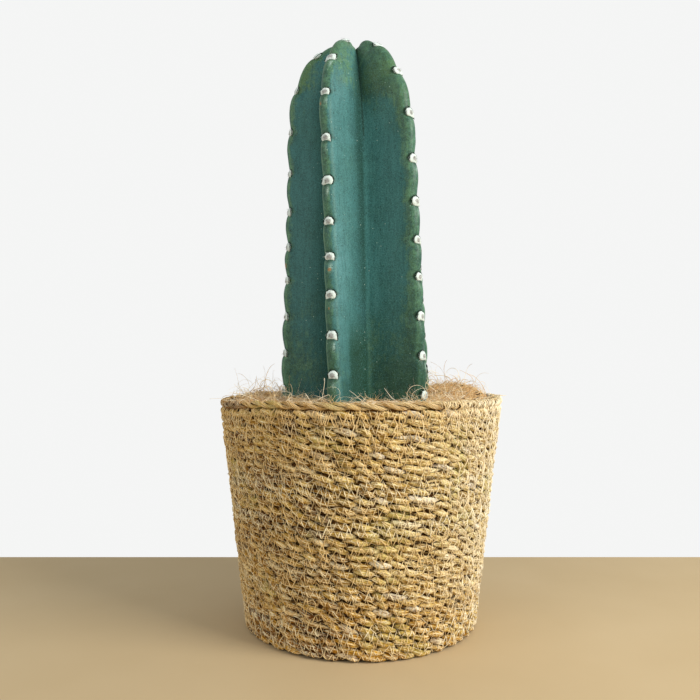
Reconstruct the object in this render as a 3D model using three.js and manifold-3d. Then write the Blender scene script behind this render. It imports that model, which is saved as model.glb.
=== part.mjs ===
// A five-ribbed blue-green column cactus in a seagrass basket, dressed with coconut fibre.
// Millimetres, +Z up. The origin is the middle of the basket's underside, and -Y is the front.
import * as THREE from 'three'
import { mergeVertices } from 'three/addons/utils/BufferGeometryUtils.js'
import Module from 'manifold-3d'

const wasm = await Module()
wasm.setup()

// Gap left between pieces that touch
const CLEARANCE = 0.3

// Basket: a straight taper of sewn cord rows, with a thicker cord round the mouth
const BASKET_HEIGHT = 225.3
const MOUTH_RADIUS = 138
const FOOT_RADIUS = 113
const WALL_THICKNESS = 7
const CORD_ROWS = 32
const SEAM_DEPTH = 2.4
const FOOT_ROUNDING = 4.5
const BASKET_SIDES = 32
const RIM_ROPE_RADIUS = 3.6
const RIM_ROPE_WAIST = 2.6
const RIM_ROPE_TURNS = 24
const RIM_ROPE_SIDES = 6

// Plastic pot that stands inside the basket
const POT_FOOT_RADIUS = 92
const POT_MOUTH_RADIUS = 118
const POT_TOP_Z = 204
const POT_WALL = 2
const POT_FLOOR = 2.5
const POT_LIP_WIDTH = 4
const POT_LIP_HEIGHT = 14
const POT_LIP_SLOPE = 1
const POT_SIDES = 32
const DRAIN_HOLES = 6
const DRAIN_RADIUS = 5
const DRAIN_CIRCLE_RADIUS = 60
const DRAIN_SIDES = 10
const SOIL_TOP_Z = 196
const SOIL_GAP = 0.5

// Mulch: low in front of the stem, heaped at the sides and the back right
const MULCH_RADIUS = 128.4
const MULCH_PLUG_RADIUS = 113.6
const MULCH_SKIRT_Z = 208
const MULCH_SKIRT_INSET = 0.8
const MULCH_LOW_Z = 218.5
const MULCH_EDGE_DROP = 3
const MULCH_EDGE_WIDTH = 12
const MULCH_LUMP = 1.1
const MULCH_LUMP_X = 7.3
const MULCH_LUMP_Y = 6.1
const MULCH_SIDES = 40
const MULCH_RINGS = [22, 44, 62, 76, 88, 99, 110, 120, 126]
const MULCH_MOUNDS = [
  { x: 98, y: 42, spread: 44, rise: 13 },
  { x: -98, y: 18, spread: 42, rise: 5 },
  { x: -10, y: 108, spread: 58, rise: 7.5 },
]

// Stem: crest line from the mulch up to the shoulder and over a domed crown
const ROOT_Z = 205
const SHOULDER_Z = 466
const SHOULDER_RADIUS = 68.3
const BASE_SPREAD = 0.0262
const CROWN_RISE = 105.5
const CROWN_POWER = 2.2
const CROWN_DIP = 8.5
const CROWN_DIP_RADIUS = 10
const CRESTLINE_STEPS = 900

// Ribs: their angles from the front towards +X, low down and high up, and the twist between
const RIB_ANGLES_LOW = [0, 72, 131, 212, 288]
const RIB_ANGLES_HIGH = [0, 72, 149, 218, 288]
const TWIST_LOW = 19
const TWIST_HIGH = 27.5
const TWIST_LOW_Z = 244
const TWIST_HIGH_Z = 515
const EVEN_RIBS_Z = 425
const CROWN_REACH = [-2.2, -1.6, 0, 0, 3.4]
const CROWN_REACH_LOW_Z = 480
const CROWN_REACH_FULL_Z = 555
const CROWN_REACH_END_RADIUS = 10
const CROWN_REACH_RADIUS = 45
const CREST_ROUNDING = 7
const CREST_ROUNDING_FADE = 0.55
const GROOVE_RATIO = 0.42
const CROWN_GROOVE_DROP = 5
const CROWN_GROOVE_RADIUS = 20
const APEX_FADE_RADIUS = 8
const GROOVE_GROW = 1.7
const FLANK_HOLLOW = -1.2
const FLANK_SWELL = 2.6
const FLANK_SWELL_LOW_Z = 470
const FLANK_SWELL_FULL_Z = 530
const NARROW_FLANK = 24
const LEAN_START_Z = 400
const LEAN_RUN = 170
const AXIS_X = -1.6
const LEAN_X = -4.6
const LEAN_POWER = 1.6

// Areoles: spacing up the crest from the first one, and where each rib's row starts
const FIRST_AREOLE_Z = 243.8
const LOWEST_SPACING = 36
const AREOLE_SPACINGS = [36, 37, 35, 32.5, 37.5, 40, 43.5, 41, 38, 24, 13, 7]
const AREOLE_PHASES = [0, 0.47, 0.06, 0.62, 0.55]
const RIGHT_RIB = 1
const RIGHT_RIB_DRIFT = 0.024
const LOBE_HEIGHT = 3.7
const LOBE_FADE_LENGTH = 30
const LOBE_SKEW = 0.68
const LOBE_ROWS = [0, 0.17, 0.4, 0.66, 0.88]
const LAST_LOBE = 7
const CROWN_ROWS = 11
const CAP_TURNS = [-80, -40, 0, 40, 80]
const AREOLE_HALF_WIDTH = 4.6
const AREOLE_HALF_LENGTH = 4.3
const AREOLE_HALF_DEPTH = 2.7
const AREOLE_SIDES = 6
const AREOLE_LIFT = 0.5
const AREOLE_LATITUDES = [-25, 32]
const LOWEST_AREOLE_Z = 219
const APEX_CLEAR_RADIUS = 9

// Buried foot of the stem: the ribbed outline shrinks and gives way to a round stump
const FOOT_ROWS = [
  { z: 138, radius: 22, ribbed: 0.7, round: 1 },
  { z: 148, radius: 31, ribbed: 0.7, round: 1 },
  { z: 163, radius: 35, ribbed: 0.75, round: 1 },
  { z: 177, radius: 38, ribbed: 0.77, round: 0.75 },
  { z: 191, radius: 42, ribbed: 0.78, round: 0.35 },
]
const FOOT_END_Z = 134

const DEGREES = Math.PI / 180
const RIBS = RIB_ANGLES_LOW.length

// Numbers between 0 and 1 that come out the same each time
function seededRandom(seed) {
  let state = seed
  return () => {
    state = (state * 1664525 + 1013904223) % 4294967296
    return state / 4294967296
  }
}

function interpolate(xs, ys, x) {
  if (x <= xs[0]) return ys[0]
  const last = xs.length - 1
  if (x >= xs[last]) return ys[last]
  let low = 0
  let high = last
  while (high - low > 1) {
    const middle = (low + high) >> 1
    if (xs[middle] <= x) low = middle
    else high = middle
  }
  const share = (x - xs[low]) / (xs[high] - xs[low])
  return ys[low] + (ys[high] - ys[low]) * share
}

function smooth(start, end, value) {
  return THREE.MathUtils.smoothstep(value, start, end)
}

// Merges shared corners and drops the flat triangles where a profile meets its axis
function weld(geometry) {
  const bare = new THREE.BufferGeometry()
  bare.setAttribute('position', geometry.getAttribute('position').clone())
  if (geometry.index) bare.setIndex(geometry.index.clone())
  const merged = mergeVertices(bare, 1e-4)
  const corners = merged.index.array
  const kept = []
  for (let i = 0; i < corners.length; i += 3) {
    const [a, b, c] = [corners[i], corners[i + 1], corners[i + 2]]
    if (a !== b && b !== c && c !== a) kept.push(a, b, c)
  }
  merged.setIndex(kept)
  return merged
}

function toSolid(geometry) {
  const welded = weld(geometry)
  return new wasm.Manifold(new wasm.Mesh({
    numProp: 3,
    vertProperties: new Float32Array(welded.getAttribute('position').array),
    triVerts: new Uint32Array(welded.index.array),
  }))
}

function toGeometry(solid) {
  const mesh = solid.getMesh()
  const geometry = new THREE.BufferGeometry()
  geometry.setAttribute('position', new THREE.BufferAttribute(mesh.vertProperties, 3))
  geometry.setIndex(new THREE.BufferAttribute(mesh.triVerts, 1))
  return geometry
}

// A closed skin through rings of points, each ring running anticlockwise seen from above
function skinThroughRings(rings, bottom, top) {
  const count = rings[0].length
  const points = [bottom, ...rings.flat(), top]
  const corner = (ring, side) => 1 + ring * count + (side % count)
  const topIndex = points.length - 1
  const index = []
  for (let side = 0; side < count; side++) {
    index.push(0, corner(0, side + 1), corner(0, side))
    index.push(topIndex, corner(rings.length - 1, side), corner(rings.length - 1, side + 1))
  }
  for (let ring = 0; ring + 1 < rings.length; ring++) {
    for (let side = 0; side < count; side++) {
      const [a, b] = [corner(ring, side), corner(ring, side + 1)]
      const [c, d] = [corner(ring + 1, side + 1), corner(ring + 1, side)]
      index.push(a, b, c, a, c, d)
    }
  }
  const geometry = new THREE.BufferGeometry().setFromPoints(points)
  geometry.setIndex(index)
  return geometry
}

// A turned body from its half section, listed from the bottom of the axis round to the top
function turned(profile, sides) {
  const points = profile.map(([radius, z]) => new THREE.Vector2(radius, z))
  return new THREE.LatheGeometry(points, sides).rotateX(Math.PI / 2)
}

// The crest line by its length, from the root over the crown to the middle of the top
function measureCrestLine() {
  const line = []
  for (let i = 0; i < CRESTLINE_STEPS; i++) {
    const z = ROOT_Z + (SHOULDER_Z - ROOT_Z) * i / CRESTLINE_STEPS
    line.push({ radius: SHOULDER_RADIUS + (SHOULDER_Z - z) * BASE_SPREAD, z })
  }
  for (let i = 0; i <= CRESTLINE_STEPS; i++) {
    const angle = Math.PI / 2 * i / CRESTLINE_STEPS
    const power = 2 / CROWN_POWER
    const radius = SHOULDER_RADIUS * Math.pow(Math.max(Math.cos(angle), 0), power)
    const dip = CROWN_DIP * Math.exp(-Math.pow(radius / CROWN_DIP_RADIUS, 2))
    line.push({ radius, z: SHOULDER_Z + CROWN_RISE * Math.pow(Math.sin(angle), power) - dip })
  }
  let length = 0
  line.forEach((point, i) => {
    if (i > 0) length += Math.hypot(point.radius - line[i - 1].radius, point.z - line[i - 1].z)
    point.length = length
  })
  return line
}

const crestLine = measureCrestLine()
const crestLengths = crestLine.map((point) => point.length)
const crestRadii = crestLine.map((point) => point.radius)
const crestHeights = crestLine.map((point) => point.z)
const crestEnd = crestLengths.at(-1)

function crestPoint(length) {
  return {
    radius: interpolate(crestLengths, crestRadii, length),
    z: interpolate(crestLengths, crestHeights, length),
  }
}

function crestNormal(length) {
  const below = crestPoint(Math.max(length - 0.5, 0))
  const above = crestPoint(Math.min(length + 0.5, crestEnd))
  const [rise, run] = [above.z - below.z, above.radius - below.radius]
  const size = Math.hypot(rise, run)
  return { radial: rise / size, up: -run / size }
}

// Growth counts areoles up a crest, so a whole number is an areole of the front rib
function growthKnots() {
  let length = interpolate(crestHeights.slice(0, CRESTLINE_STEPS), crestLengths, FIRST_AREOLE_Z)
  const knots = [{ growth: -2, length: length - 2 * LOWEST_SPACING }]
  knots.push({ growth: -1, length: length - LOWEST_SPACING })
  knots.push({ growth: 0, length })
  AREOLE_SPACINGS.forEach((spacing, i) => {
    length += spacing
    knots.push({ growth: i + 1, length })
  })
  return knots
}

const knots = growthKnots()
const knotGrowths = knots.map((knot) => knot.growth)
const knotLengths = knots.map((knot) => knot.length)

function growthAt(length) {
  return interpolate(knotLengths, knotGrowths, length)
}

function lengthAt(growth) {
  return interpolate(knotGrowths, knotLengths, growth)
}

function areoleGrowth(rib, count) {
  const drift = rib === RIGHT_RIB ? RIGHT_RIB_DRIFT : 0
  return (count + AREOLE_PHASES[rib]) / (1 - drift)
}

function ribAngle(rib, z) {
  const even = THREE.MathUtils.clamp((z - TWIST_LOW_Z) / (EVEN_RIBS_Z - TWIST_LOW_Z), 0, 1)
  const turn = THREE.MathUtils.clamp((z - TWIST_LOW_Z) / (TWIST_HIGH_Z - TWIST_LOW_Z), -0.3, 1.15)
  const place = THREE.MathUtils.lerp(RIB_ANGLES_LOW[rib], RIB_ANGLES_HIGH[rib], even)
  return (place - TWIST_LOW - (TWIST_HIGH - TWIST_LOW) * turn) * DEGREES
}

function grooveAngle(rib, z) {
  const next = (rib + 1) % RIBS
  const wrap = next === 0 ? 2 * Math.PI : 0
  return (ribAngle(rib, z) + ribAngle(next, z) + wrap) / 2
}

function axisX(z) {
  const lean = THREE.MathUtils.clamp((z - LEAN_START_Z) / LEAN_RUN, 0, 1)
  return AXIS_X + LEAN_X * Math.pow(lean, LEAN_POWER)
}

// How far the scallop between two areoles stands out, highest a third of the way down
function lobeHeight(rib, length) {
  const drift = rib === RIGHT_RIB ? RIGHT_RIB_DRIFT : 0
  const growth = growthAt(length)
  const count = growth * (1 - drift) - AREOLE_PHASES[rib]
  const down = Math.ceil(count) - count
  const fade = smooth(0, LOBE_FADE_LENGTH, crestEnd - length)
  return LOBE_HEIGHT * fade * Math.sin(Math.PI * Math.pow(down, LOBE_SKEW))
}

// Each rib is a little fuller or slimmer than the others where it turns over the crown
function crownReach(rib, { radius, z }) {
  const fade = smooth(CROWN_REACH_END_RADIUS, CROWN_REACH_RADIUS, radius)
  return CROWN_REACH[rib] * fade * smooth(CROWN_REACH_LOW_Z, CROWN_REACH_FULL_Z, z)
}

// A point by its distance from the stem's axis, its angle, its height and its side step
function placed(radial, angle, z, side = 0) {
  const x = axisX(z) + radial * Math.sin(angle) + side * Math.cos(angle)
  return new THREE.Vector3(x, -radial * Math.cos(angle) + side * Math.sin(angle), z)
}

function crestRounding(radius) {
  return CREST_ROUNDING * (1 - Math.exp(-CREST_ROUNDING_FADE * radius / CREST_ROUNDING))
}

// A point on the rounded crest: turn 0 is the crest itself, and a quarter turn is its side
function capPoint(rib, length, turn, grow) {
  const { radius, z } = crestPoint(length)
  const normal = crestNormal(length)
  const rounding = crestRounding(radius)
  const lift = lobeHeight(rib, length) + crownReach(rib, { radius, z })
  const out = lift - rounding + (rounding + grow) * Math.cos(turn)
  const height = z + normal.up * out
  const side = (rounding + grow) * Math.sin(turn)
  return placed(radius + normal.radial * out, ribAngle(rib, z), height, side)
}

function groovePoint(rib, length, grow) {
  const { radius, z } = crestPoint(length)
  const inward = 1 - smooth(CROWN_GROOVE_RADIUS, SHOULDER_RADIUS, radius)
  const crown = inward * (1 - Math.exp(-radius / APEX_FADE_RADIUS))
  const deep = radius * GROOVE_RATIO + GROOVE_GROW * grow
  return placed(deep, grooveAngle(rib, z), z - CROWN_GROOVE_DROP * crown + grow * crown)
}

function flankPoint(cap, groove, angle, sign, z) {
  const swell = smooth(FLANK_SWELL_LOW_Z, FLANK_SWELL_FULL_Z, z)
  const bulge = THREE.MathUtils.lerp(FLANK_HOLLOW, FLANK_SWELL, swell)
  const fade = smooth(0, NARROW_FLANK, cap.distanceTo(groove))
  const middle = cap.clone().lerp(groove, 0.5)
  middle.x += sign * bulge * fade * Math.cos(angle)
  middle.y += sign * bulge * fade * Math.sin(angle)
  return middle
}

// One ring of the stem, where lengthFor gives how far up the crest a rib of that phase is
function stemRing(lengthFor, grow) {
  const grooves = []
  for (let rib = 0; rib < RIBS; rib++) {
    const phase = (AREOLE_PHASES[rib] + AREOLE_PHASES[(rib + 1) % RIBS]) / 2
    grooves.push(groovePoint(rib, lengthFor(phase), grow))
  }
  const ring = []
  for (let rib = 0; rib < RIBS; rib++) {
    const length = lengthFor(AREOLE_PHASES[rib])
    const cap = CAP_TURNS.map((turn) => capPoint(rib, length, turn * DEGREES, grow))
    const { z } = crestPoint(length)
    const before = grooves[(rib + RIBS - 1) % RIBS]
    const angle = ribAngle(rib, z)
    ring.push(before, flankPoint(cap[0], before, angle, -1, z))
    ring.push(...cap, flankPoint(cap.at(-1), grooves[rib], angle, 1, z))
  }
  return ring
}

// A ring of the buried foot: the ribbed outline drawn in towards a round one
function footRing({ z, radius, ribbed, round }, grow) {
  const outline = stemRing(() => 0, grow)
  const perRib = outline.length / RIBS
  const axis = new THREE.Vector3(AXIS_X, 0, 0)
  return outline.map((point, i) => {
    const rib = Math.floor(i / perRib)
    const start = grooveAngle((rib + RIBS - 1) % RIBS, ROOT_Z) - (rib === 0 ? 2 * Math.PI : 0)
    const end = grooveAngle(rib, ROOT_Z)
    const angle = start + (end - start) * (i % perRib) / perRib
    const circle = placed(radius + grow, angle, z)
    const shrunk = point.clone().sub(axis).multiplyScalar(ribbed).add(axis)
    return shrunk.setZ(z).lerp(circle, round)
  })
}

function stemColumn(grow) {
  const rings = FOOT_ROWS.map((row) => footRing(row, grow))
  rings.push(stemRing(() => 0, grow))
  rings.push(stemRing((phase) => lengthAt(phase - 1) / 2, grow))
  for (let lobe = -1; lobe <= LAST_LOBE; lobe++) {
    for (const part of LOBE_ROWS) {
      rings.push(stemRing((phase) => lengthAt(lobe + part + phase), grow))
    }
  }
  for (let row = 0; row < CROWN_ROWS; row++) {
    rings.push(stemRing((phase) => {
      const start = lengthAt(LAST_LOBE + 1 + phase)
      return start + (crestEnd - start) * row / CROWN_ROWS
    }, grow))
  }
  const apex = crestPoint(crestEnd)
  const bottom = new THREE.Vector3(AXIS_X, 0, FOOT_END_Z - grow)
  const top = new THREE.Vector3(axisX(apex.z), 0, apex.z + grow)
  return toSolid(skinThroughRings(rings, bottom, top))
}

// Every areole as its rib and its place up the crest
function areolePlaces() {
  const places = []
  for (let rib = 0; rib < RIBS; rib++) {
    for (let count = -1; count < AREOLE_SPACINGS.length; count++) {
      const length = lengthAt(areoleGrowth(rib, count))
      const { radius, z } = crestPoint(length)
      if (z > LOWEST_AREOLE_Z && radius > APEX_CLEAR_RADIUS) places.push({ rib, length })
    }
  }
  return places
}

// A woolly cushion: a low dome with its round edge sunk in the notch below a scallop
function areoleCushion({ rib, length }, grow, random) {
  const { radius, z } = crestPoint(length)
  const normal = crestNormal(length)
  const angle = ribAngle(rib, z)
  const outward = new THREE.Vector3(
    normal.radial * Math.sin(angle), -normal.radial * Math.cos(angle), normal.up)
  const sideways = new THREE.Vector3(Math.cos(angle), Math.sin(angle), 0)
  const upward = new THREE.Vector3().crossVectors(outward, sideways)
  const centre = placed(radius, angle, z)
  centre.addScaledVector(outward, AREOLE_LIFT + crownReach(rib, { radius, z }))
  const size = 0.9 + 0.2 * random()
  const start = random() * 2 * Math.PI
  const ringAt = (latitude) => {
    const ring = []
    for (let side = 0; side < AREOLE_SIDES; side++) {
      const turn = start + 2 * Math.PI * side / AREOLE_SIDES
      const wide = (AREOLE_HALF_WIDTH * size + grow) * Math.cos(latitude)
      const long = (AREOLE_HALF_LENGTH * size + grow) * Math.cos(latitude)
      const point = centre.clone()
      point.addScaledVector(sideways, wide * Math.cos(turn))
      point.addScaledVector(upward, long * Math.sin(turn))
      point.addScaledVector(outward, (AREOLE_HALF_DEPTH + grow) * Math.sin(latitude))
      ring.push(point)
    }
    return ring
  }
  const rings = AREOLE_LATITUDES.map((latitude) => ringAt(latitude * DEGREES))
  const inner = centre.clone().addScaledVector(outward, -AREOLE_HALF_DEPTH - grow)
  const outer = centre.clone().addScaledVector(outward, AREOLE_HALF_DEPTH + grow)
  return toSolid(skinThroughRings(rings, inner, outer))
}

// The whole stem with its areoles, grown on all sides by the given amount
function stemSolid(grow) {
  const random = seededRandom(11)
  const cushions = areolePlaces().map((place) => areoleCushion(place, grow, random))
  return cushions.reduce((stem, cushion) => stem.add(cushion), stemColumn(grow))
}

function basketRadius(z) {
  return THREE.MathUtils.lerp(FOOT_RADIUS, MOUTH_RADIUS, z / BASKET_HEIGHT)
}

const WALL_TOP_Z = BASKET_HEIGHT - 2 * RIM_ROPE_RADIUS - CLEARANCE

// Wall and base in one: sewn rows show as ridges outside, and the inside is plain
function basketGeometry() {
  const profile = [[0, 0], [FOOT_RADIUS - FOOT_ROUNDING, 0]]
  const pitch = WALL_TOP_Z / CORD_ROWS
  for (let row = 0; row < CORD_ROWS; row++) {
    const seam = row * pitch
    if (row > 0) profile.push([basketRadius(seam) - SEAM_DEPTH, seam])
    profile.push([basketRadius(seam + pitch / 2), seam + pitch / 2])
  }
  profile.push([basketRadius(WALL_TOP_Z) - SEAM_DEPTH, WALL_TOP_Z])
  profile.push([basketRadius(WALL_TOP_Z) - WALL_THICKNESS, WALL_TOP_Z])
  profile.push([basketRadius(WALL_THICKNESS) - WALL_THICKNESS, WALL_THICKNESS])
  profile.push([0, WALL_THICKNESS])
  return weld(turned(profile, BASKET_SIDES))
}

// Two plies twisted together: a six-sided ring whose two raised corners wind round it
function rimRopeGeometry() {
  const steps = RIM_ROPE_TURNS * RIM_ROPE_SIDES
  const ringRadius = MOUTH_RADIUS - RIM_ROPE_RADIUS
  const ropeZ = BASKET_HEIGHT - RIM_ROPE_RADIUS
  const points = []
  for (let step = 0; step < steps; step++) {
    const round = 2 * Math.PI * step / steps
    for (let side = 0; side < RIM_ROPE_SIDES; side++) {
      const turn = 2 * Math.PI * side / RIM_ROPE_SIDES
      const raised = (side + step) % (RIM_ROPE_SIDES / 2) === 0
      const thick = raised ? RIM_ROPE_RADIUS : RIM_ROPE_WAIST
      const radius = ringRadius + thick * Math.cos(turn)
      points.push(new THREE.Vector3(
        radius * Math.cos(round), radius * Math.sin(round), ropeZ + thick * Math.sin(turn)))
    }
  }
  const corner = (step, side) => (step % steps) * RIM_ROPE_SIDES + (side % RIM_ROPE_SIDES)
  const index = []
  for (let step = 0; step < steps; step++) {
    for (let side = 0; side < RIM_ROPE_SIDES; side++) {
      const [a, b] = [corner(step, side), corner(step + 1, side)]
      const [c, d] = [corner(step + 1, side + 1), corner(step, side + 1)]
      index.push(a, b, d, b, c, d)
    }
  }
  const geometry = new THREE.BufferGeometry().setFromPoints(points)
  geometry.setIndex(index)
  return geometry
}

const POT_FOOT_Z = WALL_THICKNESS + CLEARANCE

function potRadius(z) {
  const share = (z - POT_FOOT_Z) / (POT_TOP_Z - POT_FOOT_Z)
  return THREE.MathUtils.lerp(POT_FOOT_RADIUS, POT_MOUTH_RADIUS, share)
}

function nurseryPotGeometry() {
  const lipZ = POT_TOP_Z - POT_LIP_HEIGHT
  const floorZ = POT_FOOT_Z + POT_FLOOR
  const profile = [
    [0, POT_FOOT_Z],
    [POT_FOOT_RADIUS, POT_FOOT_Z],
    [potRadius(lipZ), lipZ],
    [POT_MOUTH_RADIUS + POT_LIP_WIDTH, lipZ + POT_LIP_SLOPE],
    [POT_MOUTH_RADIUS + POT_LIP_WIDTH, POT_TOP_Z],
    [POT_MOUTH_RADIUS - POT_WALL, POT_TOP_Z],
    [potRadius(floorZ) - POT_WALL, floorZ],
    [0, floorZ],
  ]
  let pot = toSolid(turned(profile, POT_SIDES))
  for (let hole = 0; hole < DRAIN_HOLES; hole++) {
    const angle = 2 * Math.PI * hole / DRAIN_HOLES
    const drain = new THREE.CylinderGeometry(DRAIN_RADIUS, DRAIN_RADIUS, 4 * POT_FLOOR, DRAIN_SIDES)
    drain.rotateX(Math.PI / 2)
    drain.translate(
      DRAIN_CIRCLE_RADIUS * Math.cos(angle), DRAIN_CIRCLE_RADIUS * Math.sin(angle), floorZ)
    pot = pot.subtract(toSolid(drain))
  }
  return toGeometry(pot)
}

function soilGeometry(stemCutter) {
  const footZ = POT_FOOT_Z + POT_FLOOR + CLEARANCE
  const inset = POT_WALL + SOIL_GAP
  const profile = [
    [0, footZ],
    [potRadius(footZ) - inset, footZ],
    [potRadius(SOIL_TOP_Z) - inset, SOIL_TOP_Z],
    [0, SOIL_TOP_Z],
  ]
  return toGeometry(toSolid(turned(profile, POT_SIDES)).subtract(stemCutter))
}

// The lie of the mulch: mounds, a drop towards the basket's wall and small lumps
function mulchTop(x, y) {
  const radius = Math.hypot(x, y)
  const edge = smooth(MULCH_RADIUS - MULCH_EDGE_WIDTH, MULCH_RADIUS, radius)
  let z = MULCH_LOW_Z - MULCH_EDGE_DROP * edge
  for (const mound of MULCH_MOUNDS) {
    const distance = Math.hypot(x - mound.x, y - mound.y)
    z += mound.rise * Math.exp(-Math.pow(distance / mound.spread, 2))
  }
  return z + MULCH_LUMP * Math.sin(x / MULCH_LUMP_X + 1.1) * Math.sin(y / MULCH_LUMP_Y + 0.4)
}

// The mulch lies on the soil and over the pot's lip, round the stem
function mulchGeometry(stemCutter) {
  const around = (radius, heightAt) => {
    const ring = []
    for (let side = 0; side < MULCH_SIDES; side++) {
      const angle = 2 * Math.PI * side / MULCH_SIDES
      const [x, y] = [radius * Math.cos(angle), radius * Math.sin(angle)]
      ring.push(new THREE.Vector3(x, y, heightAt(x, y)))
    }
    return ring
  }
  const rings = [
    around(MULCH_PLUG_RADIUS, () => SOIL_TOP_Z + CLEARANCE),
    around(MULCH_PLUG_RADIUS, () => POT_TOP_Z + CLEARANCE),
    around(MULCH_RADIUS - MULCH_SKIRT_INSET, () => POT_TOP_Z + CLEARANCE),
    around(MULCH_RADIUS, () => MULCH_SKIRT_Z),
    around(MULCH_RADIUS, mulchTop),
  ]
  for (const radius of [...MULCH_RINGS].reverse()) rings.push(around(radius, mulchTop))
  const bottom = new THREE.Vector3(0, 0, SOIL_TOP_Z + CLEARANCE)
  const top = new THREE.Vector3(0, 0, mulchTop(0, 0))
  return toGeometry(toSolid(skinThroughRings(rings, bottom, top)).subtract(stemCutter))
}

function material(color, roughness) {
  return new THREE.MeshStandardMaterial({ color, roughness, metalness: 0 })
}

const stemCutter = stemSolid(CLEARANCE)
const pieces = [
  ['cactus_stem', toGeometry(stemSolid(0)), material(0x3f6a62, 0.55)],
  ['seagrass_basket', basketGeometry(), material(0xa88858, 0.85)],
  ['rim_rope', rimRopeGeometry(), material(0xc0a473, 0.85)],
  ['nursery_pot', nurseryPotGeometry(), material(0x2a2a2a, 0.6)],
  ['potting_soil', soilGeometry(stemCutter), material(0x3b2d22, 0.95)],
  ['coco_fibre_mulch', mulchGeometry(stemCutter), material(0xb48c5c, 0.9)],
]

const plant = new THREE.Group()
for (const [name, geometry, finish] of pieces) {
  const mesh = new THREE.Mesh(geometry, finish)
  mesh.name = name
  plant.add(mesh)
}

export default plant
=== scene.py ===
"""A five-ribbed column cactus in a sewn seagrass basket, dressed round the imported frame.

Lengths are in millimetres up to the point where a mesh is made, and in metres from there on.
-Y is the front, and angles round the stem run from the front towards +X.
"""
import math

import bpy
import numpy as np
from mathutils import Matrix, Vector, noise


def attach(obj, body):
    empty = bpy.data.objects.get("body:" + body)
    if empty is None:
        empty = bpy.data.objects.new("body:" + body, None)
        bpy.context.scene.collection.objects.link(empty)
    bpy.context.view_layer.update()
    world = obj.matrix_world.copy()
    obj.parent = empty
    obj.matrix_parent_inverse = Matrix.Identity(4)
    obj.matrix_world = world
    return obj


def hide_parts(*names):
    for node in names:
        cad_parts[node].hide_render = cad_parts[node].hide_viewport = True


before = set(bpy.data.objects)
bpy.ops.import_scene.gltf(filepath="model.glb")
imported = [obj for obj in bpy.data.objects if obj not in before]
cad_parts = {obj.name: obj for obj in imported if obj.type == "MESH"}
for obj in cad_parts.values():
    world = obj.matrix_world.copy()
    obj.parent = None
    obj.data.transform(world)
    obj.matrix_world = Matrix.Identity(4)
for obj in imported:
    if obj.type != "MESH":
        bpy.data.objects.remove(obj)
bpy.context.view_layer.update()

bl_info = {
    "name": "Potted column cactus",
    "version": (1, 0, 0),
    "blender": (4, 5, 0),
    "location": "3D View > Sidebar > Cactus",
    "description": "A ribbed column cactus in a sewn seagrass basket dressed with coconut fibre",
    "category": "Add Mesh",
}

MM = 0.001
BODY = "root"

# The stem's crest line, ribs and areoles, as the solid model has them
ROOT_Z, SHOULDER_Z = 205.0, 466.0
SHOULDER_RADIUS, BASE_SPREAD = 68.3, 0.0262
CROWN_RISE, CROWN_POWER = 105.5, 2.2
CROWN_DIP, CROWN_DIP_RADIUS = 8.5, 10.0
CREST_STEPS = 900
RIB_ANGLES_LOW = (0, 72, 131, 212, 288)
RIB_ANGLES_HIGH = (0, 72, 149, 218, 288)
RIBS = len(RIB_ANGLES_LOW)
TWIST_LOW, TWIST_HIGH = 19.0, 27.5
TWIST_LOW_Z, TWIST_HIGH_Z, EVEN_RIBS_Z = 244.0, 515.0, 425.0
CROWN_REACH = (-2.2, -1.6, 0, 0, 3.4)
CROWN_REACH_LOW_Z, CROWN_REACH_FULL_Z = 480.0, 555.0
CROWN_REACH_END_RADIUS, CROWN_REACH_RADIUS = 10.0, 45.0
CREST_ROUNDING, CREST_ROUNDING_FADE = 7.0, 0.55
GROOVE_RATIO, CROWN_GROOVE_DROP = 0.42, 5.0
CROWN_GROOVE_RADIUS, APEX_FADE_RADIUS = 20.0, 8.0
FLANK_HOLLOW, FLANK_SWELL = -1.2, 2.6
FLANK_SWELL_LOW_Z, FLANK_SWELL_FULL_Z = 470.0, 530.0
NARROW_FLANK = 24.0
AXIS_X, LEAN_X, LEAN_START_Z, LEAN_RUN, LEAN_POWER = -1.6, -4.6, 400.0, 170.0, 1.6
FIRST_AREOLE_Z, LOWEST_SPACING = 243.8, 36.0
AREOLE_SPACINGS = (36, 37, 35, 32.5, 37.5, 40, 43.5, 41, 38, 24, 13, 7)
AREOLE_PHASES = (0, 0.47, 0.06, 0.62, 0.55)
FRONT_RIB, RIGHT_RIB, LEFT_RIB = 0, 1, 4
RIGHT_RIB_DRIFT = 0.024
LOBE_SKEW, LOBE_FADE_LENGTH, LAST_LOBE = 0.68, 30.0, 7
LOWEST_AREOLE_Z, APEX_CLEAR_RADIUS = 219.0, 9.0
FOOT_ROWS = ((138, 22, 0.7, 1), (148, 31, 0.7, 1), (163, 35, 0.75, 1), (177, 38, 0.77, 0.75),
             (191, 42, 0.78, 0.35))
FOOT_END_Z = 134.0

# How finely the skin is divided, and how far the crest's round cap turns
ROWS_BELOW, ROWS_PER_LOBE, CROWN_ROWS, CROWN_ROW_POWER = 8, 25, 48, 0.92
CAP_POINTS, CAP_TURN, FLANK_POINTS = 12, 84, 10

# The left rib's areoles face the front more, and the right rib's stand a little further out
LEFT_AREOLES_TURN, LEFT_AREOLES_SHIFT, RIGHT_AREOLES_OUT = 0.34, 7, 0.5

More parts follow.
